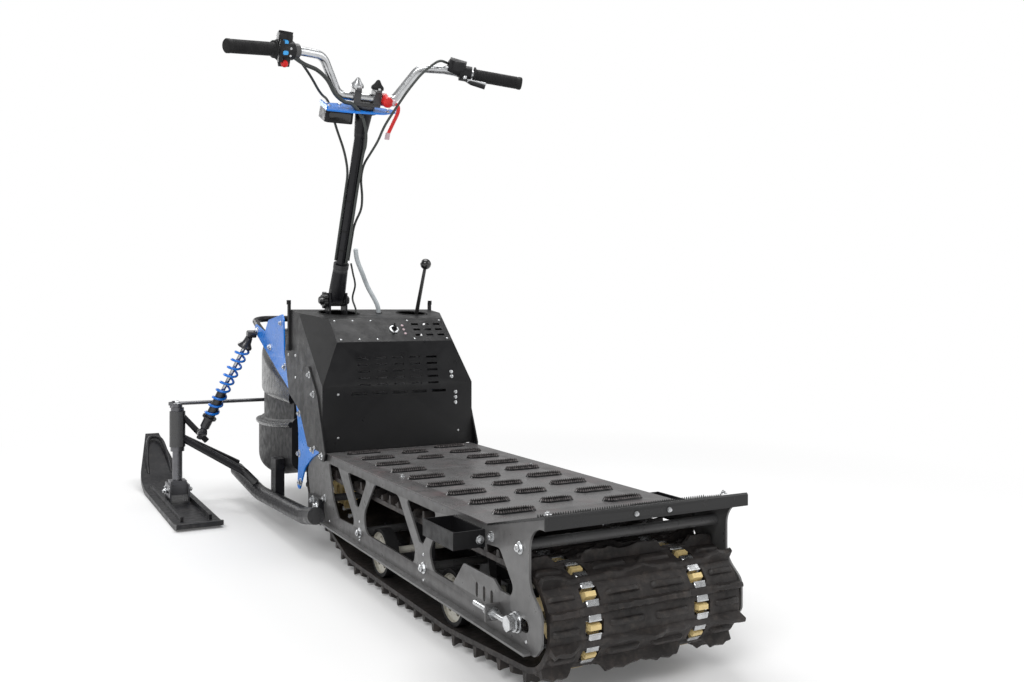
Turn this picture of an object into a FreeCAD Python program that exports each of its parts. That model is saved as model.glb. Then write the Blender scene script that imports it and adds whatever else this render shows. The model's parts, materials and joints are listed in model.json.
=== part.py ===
import FreeCAD, Part
import math
import os
import re
from FreeCAD import Placement, Rotation, Vector

# Compact stand-on snowmobile: a rubber track under a slotted footboard, an engine box in
# front of the rider, a folding steering mast and a two-ski front end.
#
# Frame: millimetres, +Z up, +Y forward, +X to the rider's right.  The ground is z = 0 and the
# origin lies on it, at the middle of the overall length.  Stations along the machine are
# measured forward from the rear face of the kick bar and turned into Y by at().

SIZES = [
    # alias, value, meaning
    ("rear_face_y", -1231.3, "Y of the rear face of the kick bar"),
    # chassis plates and footboard
    ("tunnel_gap", 8.0, "gap between the track's edge and a side plate"),
    ("plate_thick", 4.0, "thickness of a side plate"),
    ("plate_low", 88.0, "height of the lower edge of a side plate"),
    ("plate_front", 1238.0, "station of the front end of a side plate"),
    ("lip_width", 14.0, "flange turned outward along the lower edge of a side plate"),
    ("deck_top", 265.0, "height of the footboard"),
    ("deck_thick", 3.0, "thickness of the footboard and the kick bar"),
    ("deck_front", 1082.0, "station of the front end of the footboard"),
    ("deck_flange", 24.0, "depth of the flanges under the footboard"),
    ("kick_front", 192.0, "station where the kick bar starts to rise"),
    ("kick_top", 312.0, "height of the kick bar at the rear"),
    ("kick_face", 22.0, "depth of the rear face of the kick bar"),
    ("slot_pitch", 98.0, "distance between two rows of footboard slots"),
    ("slot_first", 252.0, "station of the first row of slots"),
    ("slot_side", 118.0, "distance of the outer slots from the middle"),
    ("slot_long", 80.0, "length of an outer slot"),
    ("slot_short", 64.0, "length of a middle slot"),
    ("slot_wide", 24.0, "width of a slot"),
    ("tow_hole_r", 5.25, "radius of the tow holes"),
    ("tow_spacing", 66.0, "distance between the tow holes"),
    # track
    ("track_width", 380.0, "width of the rubber track"),
    ("belt_thick", 10.0, "thickness of the track carcass"),
    ("lug_height", 22.0, "height of a track lug"),
    ("lug_base", 15.0, "length of a lug at its root"),
    ("lug_tip", 9.0, "length of a lug at its tip"),
    ("window_side", 108.0, "distance of the track windows from the middle"),
    ("window_wide", 44.0, "width of a track window"),
    ("window_long", 21.0, "length of a track window"),
    ("wrap_r", 72.0, "inside radius of the track over a sprocket"),
    ("rear_axle_at", 88.0, "station of the rear axle"),
    ("rear_axle_z", 128.0, "height of the rear axle"),
    ("drive_at", 1208.0, "station of the drive axle"),
    ("drive_z", 180.0, "height of the drive axle"),
    ("bend_at", 1030.0, "station where the upper length of the track bends up"),
    ("bend_r", 150.0, "radius of that bend"),
    ("axle_r", 10.0, "radius of both axles"),
    ("teeth", 10, "teeth of a sprocket"),
    ("tooth_rise", 13.0, "how far a tooth stands over the inside of the track"),
    ("sprocket_wide", 26.0, "width of a sprocket"),
    ("wheel_r", 53.0, "radius of a road wheel"),
    ("wheel_wide", 26.0, "width of a road wheel"),
    ("wheel_side", 168.0, "distance of a road wheel from the middle"),
    ("wheel_rear_at", 383.0, "station of the rear road wheels"),
    ("wheel_front_at", 760.0, "station of the front road wheels"),
    ("toe_r", 150.0, "radius of the slide rails' front bend"),
    ("toe_at", 925.0, "station where the slide rails bend up"),
    ("shaft_r", 9.0, "radius of the cross shafts"),
    ("rail_side", 60.0, "distance of a slide rail from the middle"),
    ("rail_wide", 16.0, "width of a slide rail"),
    ("clear", 0.3, "gap between pieces that only rest on each other"),
    # engine box
    ("hood_gap", 7.0, "how far the engine box stands outside the side plates"),
    ("hood_skin", 2.0, "thickness of its sheet"),
    ("hood_rear", 1088.0, "station of its rear sheet"),
    ("hood_narrow", 163.0, "half width of the control band"),
    ("hood_knee_z", 430.0, "height where the rear sheet leans forward"),
    ("band_low_at", 1112.0, "station of the lower edge of the control band"),
    ("band_low_z", 542.0, "height of the lower edge of the control band"),
    ("band_top_at", 1180.0, "station of the upper edge of the control band"),
    ("band_top_z", 602.0, "height of the upper edge of the control band"),
    ("hood_top_front", 1380.0, "station of the front edge of the top sheet"),
    ("hood_top_z", 626.0, "height of the front edge of the top sheet"),
    ("hood_belly_at", 1440.0, "station of the foremost edge of the box"),
    ("hood_belly_z", 505.0, "height of the foremost edge of the box"),
    ("hood_chin_at", 1395.0, "station of the lower front edge of the box"),
    ("hood_chin_z", 392.0, "height of the lower front edge of the box"),
    ("mast_hole_r", 56.0, "radius of the hole round the mast foot"),
    ("lever_hole_r", 44.0, "radius of the hole round the shift lever"),
    ("lever_x", 116.0, "distance of the shift lever from the middle"),
    ("ball_r", 15.0, "radius of the lever's ball"),
    # mast and handlebar
    ("mast_x", -98.0, "X of the mast, left of the middle"),
    ("mast_at", 1318.0, "station of the mast's fold pin"),
    ("mast_z", 652.0, "height of the mast's fold pin"),
    ("mast_lean", 25.0, "degrees the mast leans back"),
    ("mast_r", 15.0, "radius of the mast tube"),
    ("mast_long", 570.0, "distance from the fold pin to the handlebar"),
    ("bar_r", 11.0, "radius of the handlebar tube"),
    ("bar_half", 378.0, "half width of the handlebar"),
    ("bar_rise", 101.0, "rise of the handlebar"),
    ("bar_sweep", 100.0, "how far the grips sweep back"),
    ("grip_r", 16.0, "radius of a grip"),
    ("grip_long", 128.0, "length of a grip"),
    # front end
    ("bracket_thick", 4.0, "thickness of the blue front brackets"),
    ("beam_r", 22.0, "radius of a lower beam"),
    ("cowl_low", 352.0, "height of the underside of the cowl"),
    ("ski_side", 420.0, "distance of a ski from the middle"),
    ("ski_wide", 130.0, "width of a ski"),
    ("ski_thick", 16.0, "thickness of a ski"),
    ("ski_rear", 1548.0, "station of the rear end of a ski"),
    ("ski_tip", 2475.0, "station of the tip of a ski"),
    ("ski_tip_z", 165.0, "height of the tip of a ski"),
    ("spindle_at", 1925.0, "station of the ski spindles"),
    ("spindle_r", 15.0, "radius of a spindle"),
    ("housing_low", 190.0, "height of the lower end of a spindle housing"),
    ("housing_high", 302.0, "height of the upper end of a spindle housing"),
    ("arm_reach", 78.0, "length of a steering arm"),
]

DERIVED = [
    # alias, formula, meaning
    ("half_body", "track_width / 2 + tunnel_gap + plate_thick", "half width over the two side plates"),
    ("hood_half", "half_body + hood_gap", "half width of the engine box"),
]

doc = FreeCAD.newDocument("compact_snowmobile")
sheet = doc.addObject("Spreadsheet::Sheet", "Sizes")
for row, (alias, value, meaning) in enumerate(SIZES, start=1):
    sheet.set(f"A{row}", meaning)
    sheet.set(f"B{row}", str(value))
    sheet.setAlias(f"B{row}", alias)
for row, (alias, formula, meaning) in enumerate(DERIVED, start=len(SIZES) + 1):
    sheet.set(f"A{row}", meaning)
    sheet.set(f"B{row}", f"={formula}")
    sheet.setAlias(f"B{row}", alias)
doc.recompute()

ALIASES = {alias for alias, _, _ in SIZES + DERIVED}
NODES = {}
LEFT, RIGHT = -1, 1


class Sizes:
    """Reads a cell of the sheet as an attribute."""

    def __getattr__(self, alias):
        return float(sheet.get(alias))


S = Sizes()


def at(station):
    """Y of a station measured forward from the rear face of the kick bar."""
    return S.rear_face_y + station


def bind(thing, prop, value):
    """Sets a property to a number, or binds it to an expression of the sheet's aliases."""
    if isinstance(value, str):
        text = re.sub(r"[a-z_]+", lambda m: "Sizes." + m[0] if m[0] in ALIASES else m[0], value)
        thing.setExpression(prop, text)
    else:
        setattr(thing, prop, value)


def node(label, thing):
    """Registers a finished sub-part under its own label."""
    thing.Label = label
    NODES[label] = thing
    return thing


# ---------------------------------------------------------------- curves and sketches

def rounded(points, closed=True):
    """Lines and arcs through points (x, y, radius), each corner rounded to its radius."""
    corners = [(Vector(p[0], p[1], 0), p[2] if len(p) > 2 else 0) for p in points]
    return rounded_edges(corners, closed)


def rounded_edges(corners, closed):
    """The same in space, for (Vector, radius) pairs."""
    count = len(corners)
    spans = []
    for i, (corner, radius) in enumerate(corners):
        if not closed and i in (0, count - 1) or radius <= 0:
            spans.append((corner, None, corner))
            continue
        to_last = (corners[i - 1][0] - corner).normalize()
        to_next = (corners[(i + 1) % count][0] - corner).normalize()
        half = to_last.getAngle(to_next) / 2
        reach = radius / math.tan(half)
        bisector = (to_last + to_next).normalize()
        middle = corner + bisector * (radius / math.sin(half) - radius)
        spans.append((corner + to_last * reach, middle, corner + to_next * reach))
    curves = []
    for i, (start, middle, end) in enumerate(spans):
        if middle is not None:
            curves.append(Part.Arc(start, middle, end))
        if i < count - 1 or closed:
            following = spans[(i + 1) % count][0]
            if end.distanceToPoint(following) > 1e-6:
                curves.append(Part.LineSegment(end, following))
    return curves


def slot_loop(x, y, length, width):
    """A slot with round ends, along x."""
    half, r = length / 2, width / 2 - 0.001
    return [(x - half, y - r, r), (x + half, y - r, r), (x + half, y + r, r), (x - half, y + r, r)]


def sketched(label, plane, offset, loops, length, midplane=False):
    """A PartDesign body: one sketch of closed loops on an origin plane, padded."""
    body = doc.addObject("PartDesign::Body", label + "_body")
    sketch = add_sketch(body, plane, offset, loops)
    pad = body.newObject("PartDesign::Pad", "Pad")
    pad.Profile = sketch
    pad.Midplane = midplane
    bind(pad, "Length", length)
    body.Tip = pad
    return body


def add_sketch(body, plane, offset, loops):
    sketch = body.newObject("Sketcher::SketchObject", "Outline")
    planes = {f.Role: f for f in body.Origin.OriginFeatures}
    sketch.AttachmentSupport = [(planes[plane], "")]
    sketch.MapMode = "FlatFace"
    if isinstance(offset, str):
        text = re.sub(r"[a-z_]+", lambda m: "Sizes." + m[0] if m[0] in ALIASES else m[0], offset)
        sketch.setExpression("AttachmentOffset.Base.z", text)
    else:
        sketch.AttachmentOffset = Placement(Vector(0, 0, offset), Rotation())
    for loop in loops:
        sketch.addGeometry(loop if isinstance(loop, Part.Circle) else rounded(loop), False)
    return sketch


def pocketed(body, plane, offset, loops):
    """Cuts loops through the whole body."""
    sketch = add_sketch(body, plane, offset, loops)
    pocket = body.newObject("PartDesign::Pocket", "Pocket")
    pocket.Profile = sketch
    pocket.Type = 1
    pocket.Midplane = True
    body.Tip = pocket
    return body


# ---------------------------------------------------------------- primitives and booleans

def box(low, high):
    """A Part::Box between two corners, whose coordinates are numbers."""
    thing = doc.addObject("Part::Box", "Block")
    thing.Length, thing.Width, thing.Height = [b - a for a, b in zip(low, high)]
    thing.Placement = Placement(Vector(*low), Rotation())
    return thing


def rod(radius, start, end):
    """A Part::Cylinder of that radius between two points."""
    start, end = Vector(*start), Vector(*end)
    thing = doc.addObject("Part::Cylinder", "Rod")
    bind(thing, "Radius", radius)
    thing.Height = start.distanceToPoint(end)
    thing.Placement = Placement(start, Rotation(Vector(0, 0, 1), end - start))
    return thing


def cone(radius_1, radius_2, start, end):
    start, end = Vector(*start), Vector(*end)
    thing = doc.addObject("Part::Cone", "Cone")
    bind(thing, "Radius1", radius_1)
    bind(thing, "Radius2", radius_2)
    thing.Height = start.distanceToPoint(end)
    thing.Placement = Placement(start, Rotation(Vector(0, 0, 1), end - start))
    return thing


def ball(radius, centre):
    thing = doc.addObject("Part::Sphere", "Ball")
    bind(thing, "Radius", radius)
    thing.Placement = Placement(Vector(*centre), Rotation())
    return thing


def prism(sides, radius, start, end):
    """A Part::Prism, such as a hexagon head, between two points."""
    start, end = Vector(*start), Vector(*end)
    thing = doc.addObject("Part::Prism", "Prism")
    thing.Polygon = sides
    thing.Circumradius = radius
    thing.Height = start.distanceToPoint(end)
    thing.Placement = Placement(start, Rotation(Vector(0, 0, 1), end - start))
    return thing


def fuse(*things):
    thing = doc.addObject("Part::MultiFuse", "Fusion")
    thing.Shapes = list(things)
    thing.Refine = True
    return thing


def cut(base, *tools):
    thing = doc.addObject("Part::Cut", "Cut")
    thing.Base = base
    thing.Tool = tools[0] if len(tools) == 1 else fuse(*tools)
    return thing


def common(first, second):
    thing = doc.addObject("Part::Common", "Common")
    thing.Base, thing.Tool = first, second
    return thing


def group(*things):
    """Solids that don't touch, kept as one sub-part."""
    thing = doc.addObject("Part::Compound", "Group")
    thing.Links = list(things)
    return thing


def mirrored(thing):
    """The same piece on the other side of the middle plane."""
    image = doc.addObject("Part::Mirroring", "Mirror")
    image.Source = thing
    image.Base = Vector(0, 0, 0)
    image.Normal = Vector(1, 0, 0)
    return image


def pair(label, thing):
    """thing is the left piece: registers it and its mirror image as two sub-parts."""
    node(label + "_left", thing)
    node(label + "_right", mirrored(thing))


def both_sides(label, thing):
    """thing is the left piece: registers it and its mirror image as one sub-part."""
    node(label, group(thing, mirrored(thing)))


def feature(shape):
    thing = doc.addObject("Part::Feature", "Shape")
    thing.Shape = shape
    return thing


def tube(points, radius, bend):
    """A round bar along straight runs joined by arcs of radius bend (a number or one for each inner point)."""
    bends = bend if isinstance(bend, list) else [bend] * (len(points) - 2)
    corners = list(zip([Vector(*p) for p in points], [0] + bends + [0]))
    path = Part.Wire([c.toShape() for c in rounded_edges(corners, False)])
    along = corners[1][0] - corners[0][0]
    ring = Part.Wire(Part.Circle(corners[0][0], along, radius).toShape())
    return path.makePipeShell([ring], True, False)


# ---------------------------------------------------------------- side plates and footboard

def plate_outline():
    """The side plate from the side, as (y, z, corner radius)."""
    low, under = S.plate_low, S.deck_top - S.deck_thick - S.clear
    tip = S.kick_top - S.deck_thick - 1 - S.clear
    return [
        (at(S.plate_front - 43), under, 10),
        (at(S.kick_front), under, 0),
        (at(S.deck_thick), tip, 0),
        (at(S.deck_thick), S.kick_top - S.kick_face, 2),
        (at(51), S.kick_top - S.kick_face, 40),
        (at(51), 192, 40),
        (at(12), 160, 26),
        (at(12), 108, 18),
        (at(32), low, 16),
        (at(S.plate_front - 128), low, 60),
        (at(S.plate_front - 22), 140, 40),
        (at(S.plate_front), 200, 28),
    ]


def truss_windows():
    """The openings of a side plate, from the front to the rear."""
    top = S.deck_top - 22
    return [
        [(at(1058), top, 5), (at(985), top, 8), (at(872), 142, 10), (at(872), 125, 8),
         (at(985), 121, 14), (at(1024), 160, 30)],
        [(at(918), top, 6), (at(784), top, 6), (at(838), 173, 7), (at(857), 173, 7)],
        [(at(735), top, 22), (at(803), 168, 34), (at(800), 123, 30), (at(514), 123, 12),
         (at(507), 150, 12), (at(598), top, 26)],
        [(at(556), top, 6), (at(402), top, 6), (at(468), 170, 7), (at(486), 170, 7)],
        [(at(404), 212, 14), (at(150), 233, 18), (at(100), 178, 14), (at(112), 163, 7),
         (at(148), 163, 9), (at(170), 176, 8), (at(286), 176, 12), (at(330), 129, 12),
         (at(420), 129, 20), (at(440), 160, 18)],
    ]


def vent_slots():
    """Three upright slots in the solid part under the rear opening."""
    height, r = 26, 4.5
    loops = []
    for station in (178, 206, 234):
        y, z = at(station), 142
        loops.append([(y - r, z - height / 2, r - 0.01), (y + r, z - height / 2, r - 0.01),
                      (y + r, z + height / 2, r - 0.01), (y - r, z + height / 2, r - 0.01)])
    return loops


def axle_slot():
    """The slot in which the rear axle is tensioned."""
    y, z, r = at(S.rear_axle_at), S.rear_axle_z, S.axle_r + 0.4
    return [(y - 36, z - r, r - 0.01), (y + 24, z - r, r - 0.01),
            (y + 24, z + r, r - 0.01), (y - 36, z + r, r - 0.01)]


def side_plates():
    loops = [plate_outline(), axle_slot()] + truss_windows() + vent_slots()
    sheet_metal = sketched("side_plate", "YZ_Plane", "-half_body", loops, "plate_thick")
    lip_low = (-S.half_body - S.lip_width, at(44), S.plate_low)
    lip_high = (-S.half_body + 0.5, at(S.plate_front - 150), S.plate_low + S.plate_thick)
    tab_low = (-S.half_body - 26, at(150), S.rear_axle_z - 14)
    tab_high = (-S.half_body + 0.5, at(154), S.rear_axle_z + 14)
    screw_x = -S.half_body - 14
    tab_hole = rod(5.4, (screw_x, at(140), S.rear_axle_z), (screw_x, at(160), S.rear_axle_z))
    pair("side_plate", cut(fuse(sheet_metal, box(lip_low, lip_high), box(tab_low, tab_high)), tab_hole))


def slot_rows():
    """Footboard slots as (x, station, length); the middle column is staggered by half a pitch."""
    rows = []
    for i in range(9):
        station = S.slot_first + i * S.slot_pitch
        rows += [(-S.slot_side, station, S.slot_long), (S.slot_side, station, S.slot_long)]
    for i in (0, 1, 2, 3, 6, 7):
        rows.append((0, S.slot_first + (i + 0.5) * S.slot_pitch, S.slot_short))
    return rows


def footboard():
    half = S.half_body + 1
    rear, front = at(S.kick_front + S.clear), at(S.deck_front)
    outline = [(-half, rear), (half, rear), (half, front), (-half, front)]
    under = "deck_top - deck_thick"
    board = sketched("footboard", "XY_Plane", under, [outline], "deck_thick")
    slots = [slot_loop(x, at(s), length, S.slot_wide) for x, s, length in slot_rows()]
    pocketed(board, "XY_Plane", under, slots)
    inner = S.half_body - S.plate_thick - S.clear
    flanges = [
        box((x, rear + 4, S.deck_top - S.deck_flange), (x + 3, front - 4, S.deck_top - 1))
        for x in (-inner, inner - 3)
    ]
    node("footboard", fuse(board, *flanges))


def kick_bar():
    """The rear of the footboard, which rises to a bar with a folded face."""
    t, top, low = S.deck_thick, S.kick_top, S.kick_top - S.kick_face
    front = S.kick_front
    profile = [(at(front), S.deck_top), (at(t), top, 2), (at(0), top - 3, 2), (at(0), low),
               (at(t), low), (at(t), top - t - 1), (at(front), S.deck_top - t)]
    bar = sketched("kick_bar", "YZ_Plane", 0, [profile], "2*half_body + 2", midplane=True)
    face_cut = [rod(S.tow_hole_r, (x * S.tow_spacing / 2, at(-5), (low + top) / 2 - 1),
                    (x * S.tow_spacing / 2, at(12), (low + top) / 2 - 1)) for x in (-1, 1)]
    rise = (top - S.deck_top) / front
    slots = []
    for x in (-92, 92):
        for station, length in ((40, 150), (118, 80)):
            z = top - station * rise
            slots.append(box((x - length / 2, at(station - 11), z - 12), (x + length / 2, at(station + 11), z + 12)))
    node("kick_bar", cut(bar, *face_cut, *slots))


def side_pockets():
    """Open trays outside the plates, under the edge of the footboard."""
    wall, deep, long = 3, 60, 128
    inner = -S.half_body - S.clear
    low, high, rear = S.deck_top - 42, S.deck_top - 12, at(202)
    tray = box((inner - deep, rear, low), (inner, rear + long, high))
    room = box((inner - deep + wall, rear + wall, low + wall), (inner - wall, rear + long - wall, high + 1))
    both_sides("side_pockets", cut(tray, room))


def cross_shafts():
    """Shafts that tie the side plates together."""
    inner = S.half_body - S.plate_thick - S.clear
    shafts = [rod("shaft_r", (-inner, at(s), z), (inner, at(s), z))
              for s, z in ((833, 118), (466, 124), (79, 252), (1090, 150))]
    node("cross_shafts", group(*shafts))


# ---------------------------------------------------------------- track

def belt_circles(offset):
    """Circles (station, z, signed radius) the track runs round, offset from its inside face.
    A negative radius is a bend the other way."""
    ground = S.lug_height + S.belt_thick
    return [
        (S.rear_axle_at, S.rear_axle_z, S.wrap_r + offset),
        (S.wheel_rear_at, ground + S.wheel_r, S.wheel_r + offset),
        (S.toe_at, ground + S.toe_r, S.toe_r + offset),
        (S.drive_at, S.drive_z, S.wrap_r + offset),
        (S.bend_at, S.rear_axle_z + S.wrap_r + S.bend_r, -(S.bend_r - offset)),
    ]


def belt_spans(offset):
    """Arcs and lines of the loop: (kind, start, end, centre, signed radius) in (y, z)."""
    circles = belt_circles(offset)
    tangents = []
    for i, (u1, z1, r1) in enumerate(circles):
        u2, z2, r2 = circles[(i + 1) % len(circles)]
        turn = math.asin((r1 - r2) / math.hypot(u2 - u1, z2 - z1))
        heading = math.atan2(z2 - z1, u2 - u1) + turn
        right = (math.sin(heading), -math.cos(heading))
        tangents.append(((u1 + r1 * right[0], z1 + r1 * right[1]), (u2 + r2 * right[0], z2 + r2 * right[1])))
    spans = []
    for i, circle in enumerate(circles):
        spans.append(("arc", tangents[i - 1][1], tangents[i][0], circle[:2], circle[2]))
        spans.append(("line", *tangents[i], None, None))
    return spans


def span_angles(span):
    """Start angle and sweep of an arc span."""
    _, start, end, centre, radius = span
    first = math.atan2(start[1] - centre[1], start[0] - centre[0])
    last = math.atan2(end[1] - centre[1], end[0] - centre[0])
    sweep = (last - first) % (2 * math.pi) if radius > 0 else -((first - last) % (2 * math.pi))
    return first, sweep


def span_length(span):
    if span[0] == "line":
        return math.dist(span[1], span[2])
    return abs(span_angles(span)[1] * span[4])


def belt_point(spans, distance):
    """Point and heading (radians) at a distance along the loop."""
    for span in spans:
        length = span_length(span)
        if distance <= length:
            share = distance / length
            if span[0] == "line":
                (u1, z1), (u2, z2) = span[1], span[2]
                return (u1 + (u2 - u1) * share, z1 + (z2 - z1) * share), math.atan2(z2 - z1, u2 - u1)
            first, sweep = span_angles(span)
            angle = first + sweep * share
            r, (cu, cz) = abs(span[4]), span[3]
            heading = angle + math.copysign(math.pi / 2, sweep)
            return (cu + r * math.cos(angle), cz + r * math.sin(angle)), heading
        distance -= length
    return belt_point(spans, 0)


def belt_wire(offset, x):
    edges = []
    for span in belt_spans(offset):
        start, end = [Vector(x, at(p[0]), p[1]) for p in (span[1], span[2])]
        if start.distanceToPoint(end) < 1e-6:
            continue
        if span[0] == "line":
            edges.append(Part.makeLine(start, end))
        else:
            first, sweep = span_angles(span)
            middle = first + sweep / 2
            r, (cu, cz) = abs(span[4]), span[3]
            through = Vector(x, at(cu + r * math.cos(middle)), cz + r * math.sin(middle))
            edges.append(Part.Arc(start, through, end).toShape())
    return Part.Wire(edges)


def track_layout():
    """The loop's spans, the distances along it at which the lugs sit, and their spacing."""
    spans = belt_spans(0)
    total = sum(span_length(s) for s in spans)
    count = round(total / (2 * math.pi * S.wrap_r / S.teeth))
    step = total / count
    return spans, [i * step for i in range(count)], step


def window_angle(station, z):
    """Direction from an axle to the track window nearest the middle of its bend."""
    spans, places, step = track_layout()
    total = sum(span_length(s) for s in spans)
    bend = [s for s in spans if s[0] == "arc" and s[3] == (station, z)][0]
    first, sweep = span_angles(bend)
    best = []
    for place in places:
        (u, v), _ = belt_point(spans, (place + step / 2) % total)
        if abs(math.dist((u, v), (station, z)) - S.wrap_r) < 1e-3:
            angle = math.atan2(v - z, u - station)
            off = (angle - first - sweep / 2 + math.pi) % (2 * math.pi) - math.pi
            best.append((abs(off), angle))
    return min(best)[1]


def across(point, heading, along, out):
    """A point beside the loop: along its heading and outward from it."""
    u = point[0] + along * math.cos(heading) + out * math.sin(heading)
    z = point[1] + along * math.sin(heading) - out * math.cos(heading)
    return u, z


def profile_block(point, heading, corners, x_low, x_high):
    """A block across the track whose side view is given by (along, out) corners."""
    side = [across(point, heading, a, o) for a, o in corners]
    vectors = [Vector(x_low, at(u), z) for u, z in side]
    face = Part.Face(Part.makePolygon(vectors + vectors[:1]))
    return face.extrude(Vector(x_high - x_low, 0, 0))


def track_belt():
    half = S.track_width / 2
    outer = Part.Face(belt_wire(S.belt_thick, -half)).extrude(Vector(S.track_width, 0, 0))
    inner = Part.Face(belt_wire(0, -half)).extrude(Vector(S.track_width, 0, 0))
    carcass = outer.cut(inner)
    spans, places, step = track_layout()
    total = sum(span_length(s) for s in spans)
    base, tip = S.lug_base / 2, S.lug_tip / 2
    rise = S.belt_thick + S.lug_height
    lug = [(-base, S.belt_thick - 2), (base, S.belt_thick - 2), (tip, rise), (-tip, rise)]
    half_window = S.window_long / 2
    window = [(-half_window, -8), (half_window, -8), (half_window, rise), (-half_window, rise)]
    lugs, windows = [], []
    for place in places:
        point, heading = belt_point(spans, place)
        lugs.append(profile_block(point, heading, lug, -half, half))
        point, heading = belt_point(spans, (place + step / 2) % total)
        for side in (LEFT, RIGHT):
            x = side * S.window_side
            windows.append(profile_block(point, heading, window, x - S.window_wide / 2, x + S.window_wide / 2))
    belt = carcass.multiFuse(lugs).removeSplitter()
    node("track_belt", feature(belt.cut(Part.Compound(windows))))


def sprocket_pair(label, station, z):
    """Two toothed wheels on one axle."""
    wheels = []
    phase = window_angle(station, z)
    reach = S.wrap_r + S.tooth_rise
    for side in (LEFT, RIGHT):
        x = side * S.window_side
        low, high = x - S.sprocket_wide / 2, x + S.sprocket_wide / 2
        rim = rod("wrap_r - 0.5", (low, at(station), z), (high, at(station), z))
        teeth = []
        for i in range(int(S.teeth)):
            angle = phase + 2 * math.pi * i / S.teeth
            out = Vector(0, math.cos(angle), math.sin(angle))
            turn = Rotation(Vector(0, 0, 1), out)
            tooth = doc.addObject("Part::Wedge", "Tooth")
            tooth.Xmin, tooth.Xmax, tooth.X2min, tooth.X2max = -7, 7, -4, 4
            tooth.Ymin, tooth.Ymax = 0, reach - S.wrap_r + 6
            tooth.Zmin, tooth.Zmax, tooth.Z2min, tooth.Z2max = 0, S.sprocket_wide, 3, S.sprocket_wide - 3
            # wedge axes: its Y points outward, its Z along the axle
            frame = Rotation(out.cross(Vector(1, 0, 0)), out, Vector(1, 0, 0), "ZYX")
            base = Vector(low, at(station), z) + out * (S.wrap_r - 6)
            tooth.Placement = Placement(base, frame)
            teeth.append(tooth)
        bore = rod("axle_r + 0.05", (low - 1, at(station), z), (high + 1, at(station), z))
        holes = [rod(12, (low - 1, at(station) + 42 * math.cos(a), z + 42 * math.sin(a)),
                     (high + 1, at(station) + 42 * math.cos(a), z + 42 * math.sin(a)))
                 for a in [math.radians(60 * k) for k in range(6)]]
        wheels.append(cut(fuse(rim, *teeth), bore, *holes))
    node(label, group(*wheels))


def rear_axle():
    y, z = at(S.rear_axle_at), S.rear_axle_z
    end = S.half_body + 3
    pieces = [rod("axle_r", (-end, y, z), (end, y, z))]
    screws = []
    for side in (LEFT, RIGHT):
        pieces.append(rod(17, (side * (S.half_body + S.clear), y, z), (side * (S.half_body + 3.3), y, z)))
        pieces.append(rod(15, (side * (S.half_body + 3), y, z), (side * (S.half_body + 9), y, z)))
        pieces.append(prism(6, 13.5, (side * (S.half_body + 8), y, z), (side * (S.half_body + 21), y, z)))
        screw_x = side * (S.half_body + 14)
        screw = rod(5, (screw_x, y + 13.8, z), (screw_x, at(212), z))
        head = prism(6, 10, (screw_x, at(138), z), (screw_x, at(149.7), z))
        nut = prism(6, 10, (screw_x, at(154.3), z), (screw_x, at(164), z))
        screws.append(fuse(screw, head, nut))
    node("rear_axle", group(fuse(*pieces), *screws))


def drive_axle():
    y, z = at(S.drive_at), S.drive_z
    end = S.half_body - S.plate_thick - S.clear
    node("drive_axle", rod("axle_r", (-end, y, z), (end, y, z)))


def road_wheels(label, station):
    """Four wheels and their axle: rubber-tyred discs that run on the lower length of the track."""
    z = S.lug_height + S.belt_thick + S.wheel_r + S.clear
    y = at(station)
    wheels = []
    for x in (-S.wheel_side, S.wheel_side):
        low, high = x - S.wheel_wide / 2, x + S.wheel_wide / 2
        tyre = rod("wheel_r", (low, y, z), (high, y, z))
        dish_out = rod("wheel_r - 8", (low - 1, y, z), (low + 5, y, z))
        dish_in = rod("wheel_r - 8", (high - 5, y, z), (high + 1, y, z))
        holes = [rod(8, (low, y + 29 * math.cos(a), z + 29 * math.sin(a)),
                     (high, y + 29 * math.cos(a), z + 29 * math.sin(a)))
                 for a in [math.radians(90 + 72 * k) for k in range(5)]]
        hub = rod(15, (low + 1, y, z), (high - 1, y, z))
        wheels.append(fuse(cut(tyre, dish_out, dish_in, *holes), hub))
    axle = rod(8, (-S.wheel_side, y, z), (S.wheel_side, y, z))
    node(label, fuse(*wheels, axle))
    return z


def slide_rails():
    """Two curved rails inside the loop, hung from the cross shafts by plates."""
    ground = S.lug_height + S.belt_thick + S.clear
    profile = [
        (at(S.wheel_rear_at - 8), ground, 10), (at(S.toe_at + 18), ground, S.toe_r - 2), (at(S.toe_at + 108), ground + 37, 6),
        (at(S.toe_at + 100), ground + 58, 6), (at(S.toe_at - 12), ground + 24, 120),
        (at(860), ground + 24, 20), (at(845), 136, 8), (at(818), 136, 8), (at(800), ground + 24, 20),
        (at(500), ground + 24, 20), (at(478), 142, 8), (at(452), 142, 8), (at(436), ground + 24, 20),
        (at(S.wheel_rear_at - 8), ground + 24, 8),
    ]
    rails = []
    for side in (LEFT, RIGHT):
        offset = side * S.rail_side - S.rail_wide / 2
        rail = sketched("rail", "YZ_Plane", offset, [profile], "rail_wide")
        cuts = [rod("shaft_r + 0.1", (offset - 1, at(s), z), (offset + S.rail_wide + 1, at(s), z))
                for s, z in ((833, 118), (466, 124))]
        wheel_z = S.lug_height + S.belt_thick + S.wheel_r + S.clear
        arms = []
        for station in (S.wheel_rear_at, S.wheel_front_at):
            arms.append(cut(
                box((offset, at(station) - 14, ground + 12), (offset + S.rail_wide, at(station) + 14, wheel_z + 14)),
                rod(8.1, (offset - 1, at(station), wheel_z), (offset + S.rail_wide + 1, at(station), wheel_z))))
        rails.append(fuse(cut(rail, *cuts), *arms))
    node("slide_rails", group(*rails))


# ---------------------------------------------------------------- engine box

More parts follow.
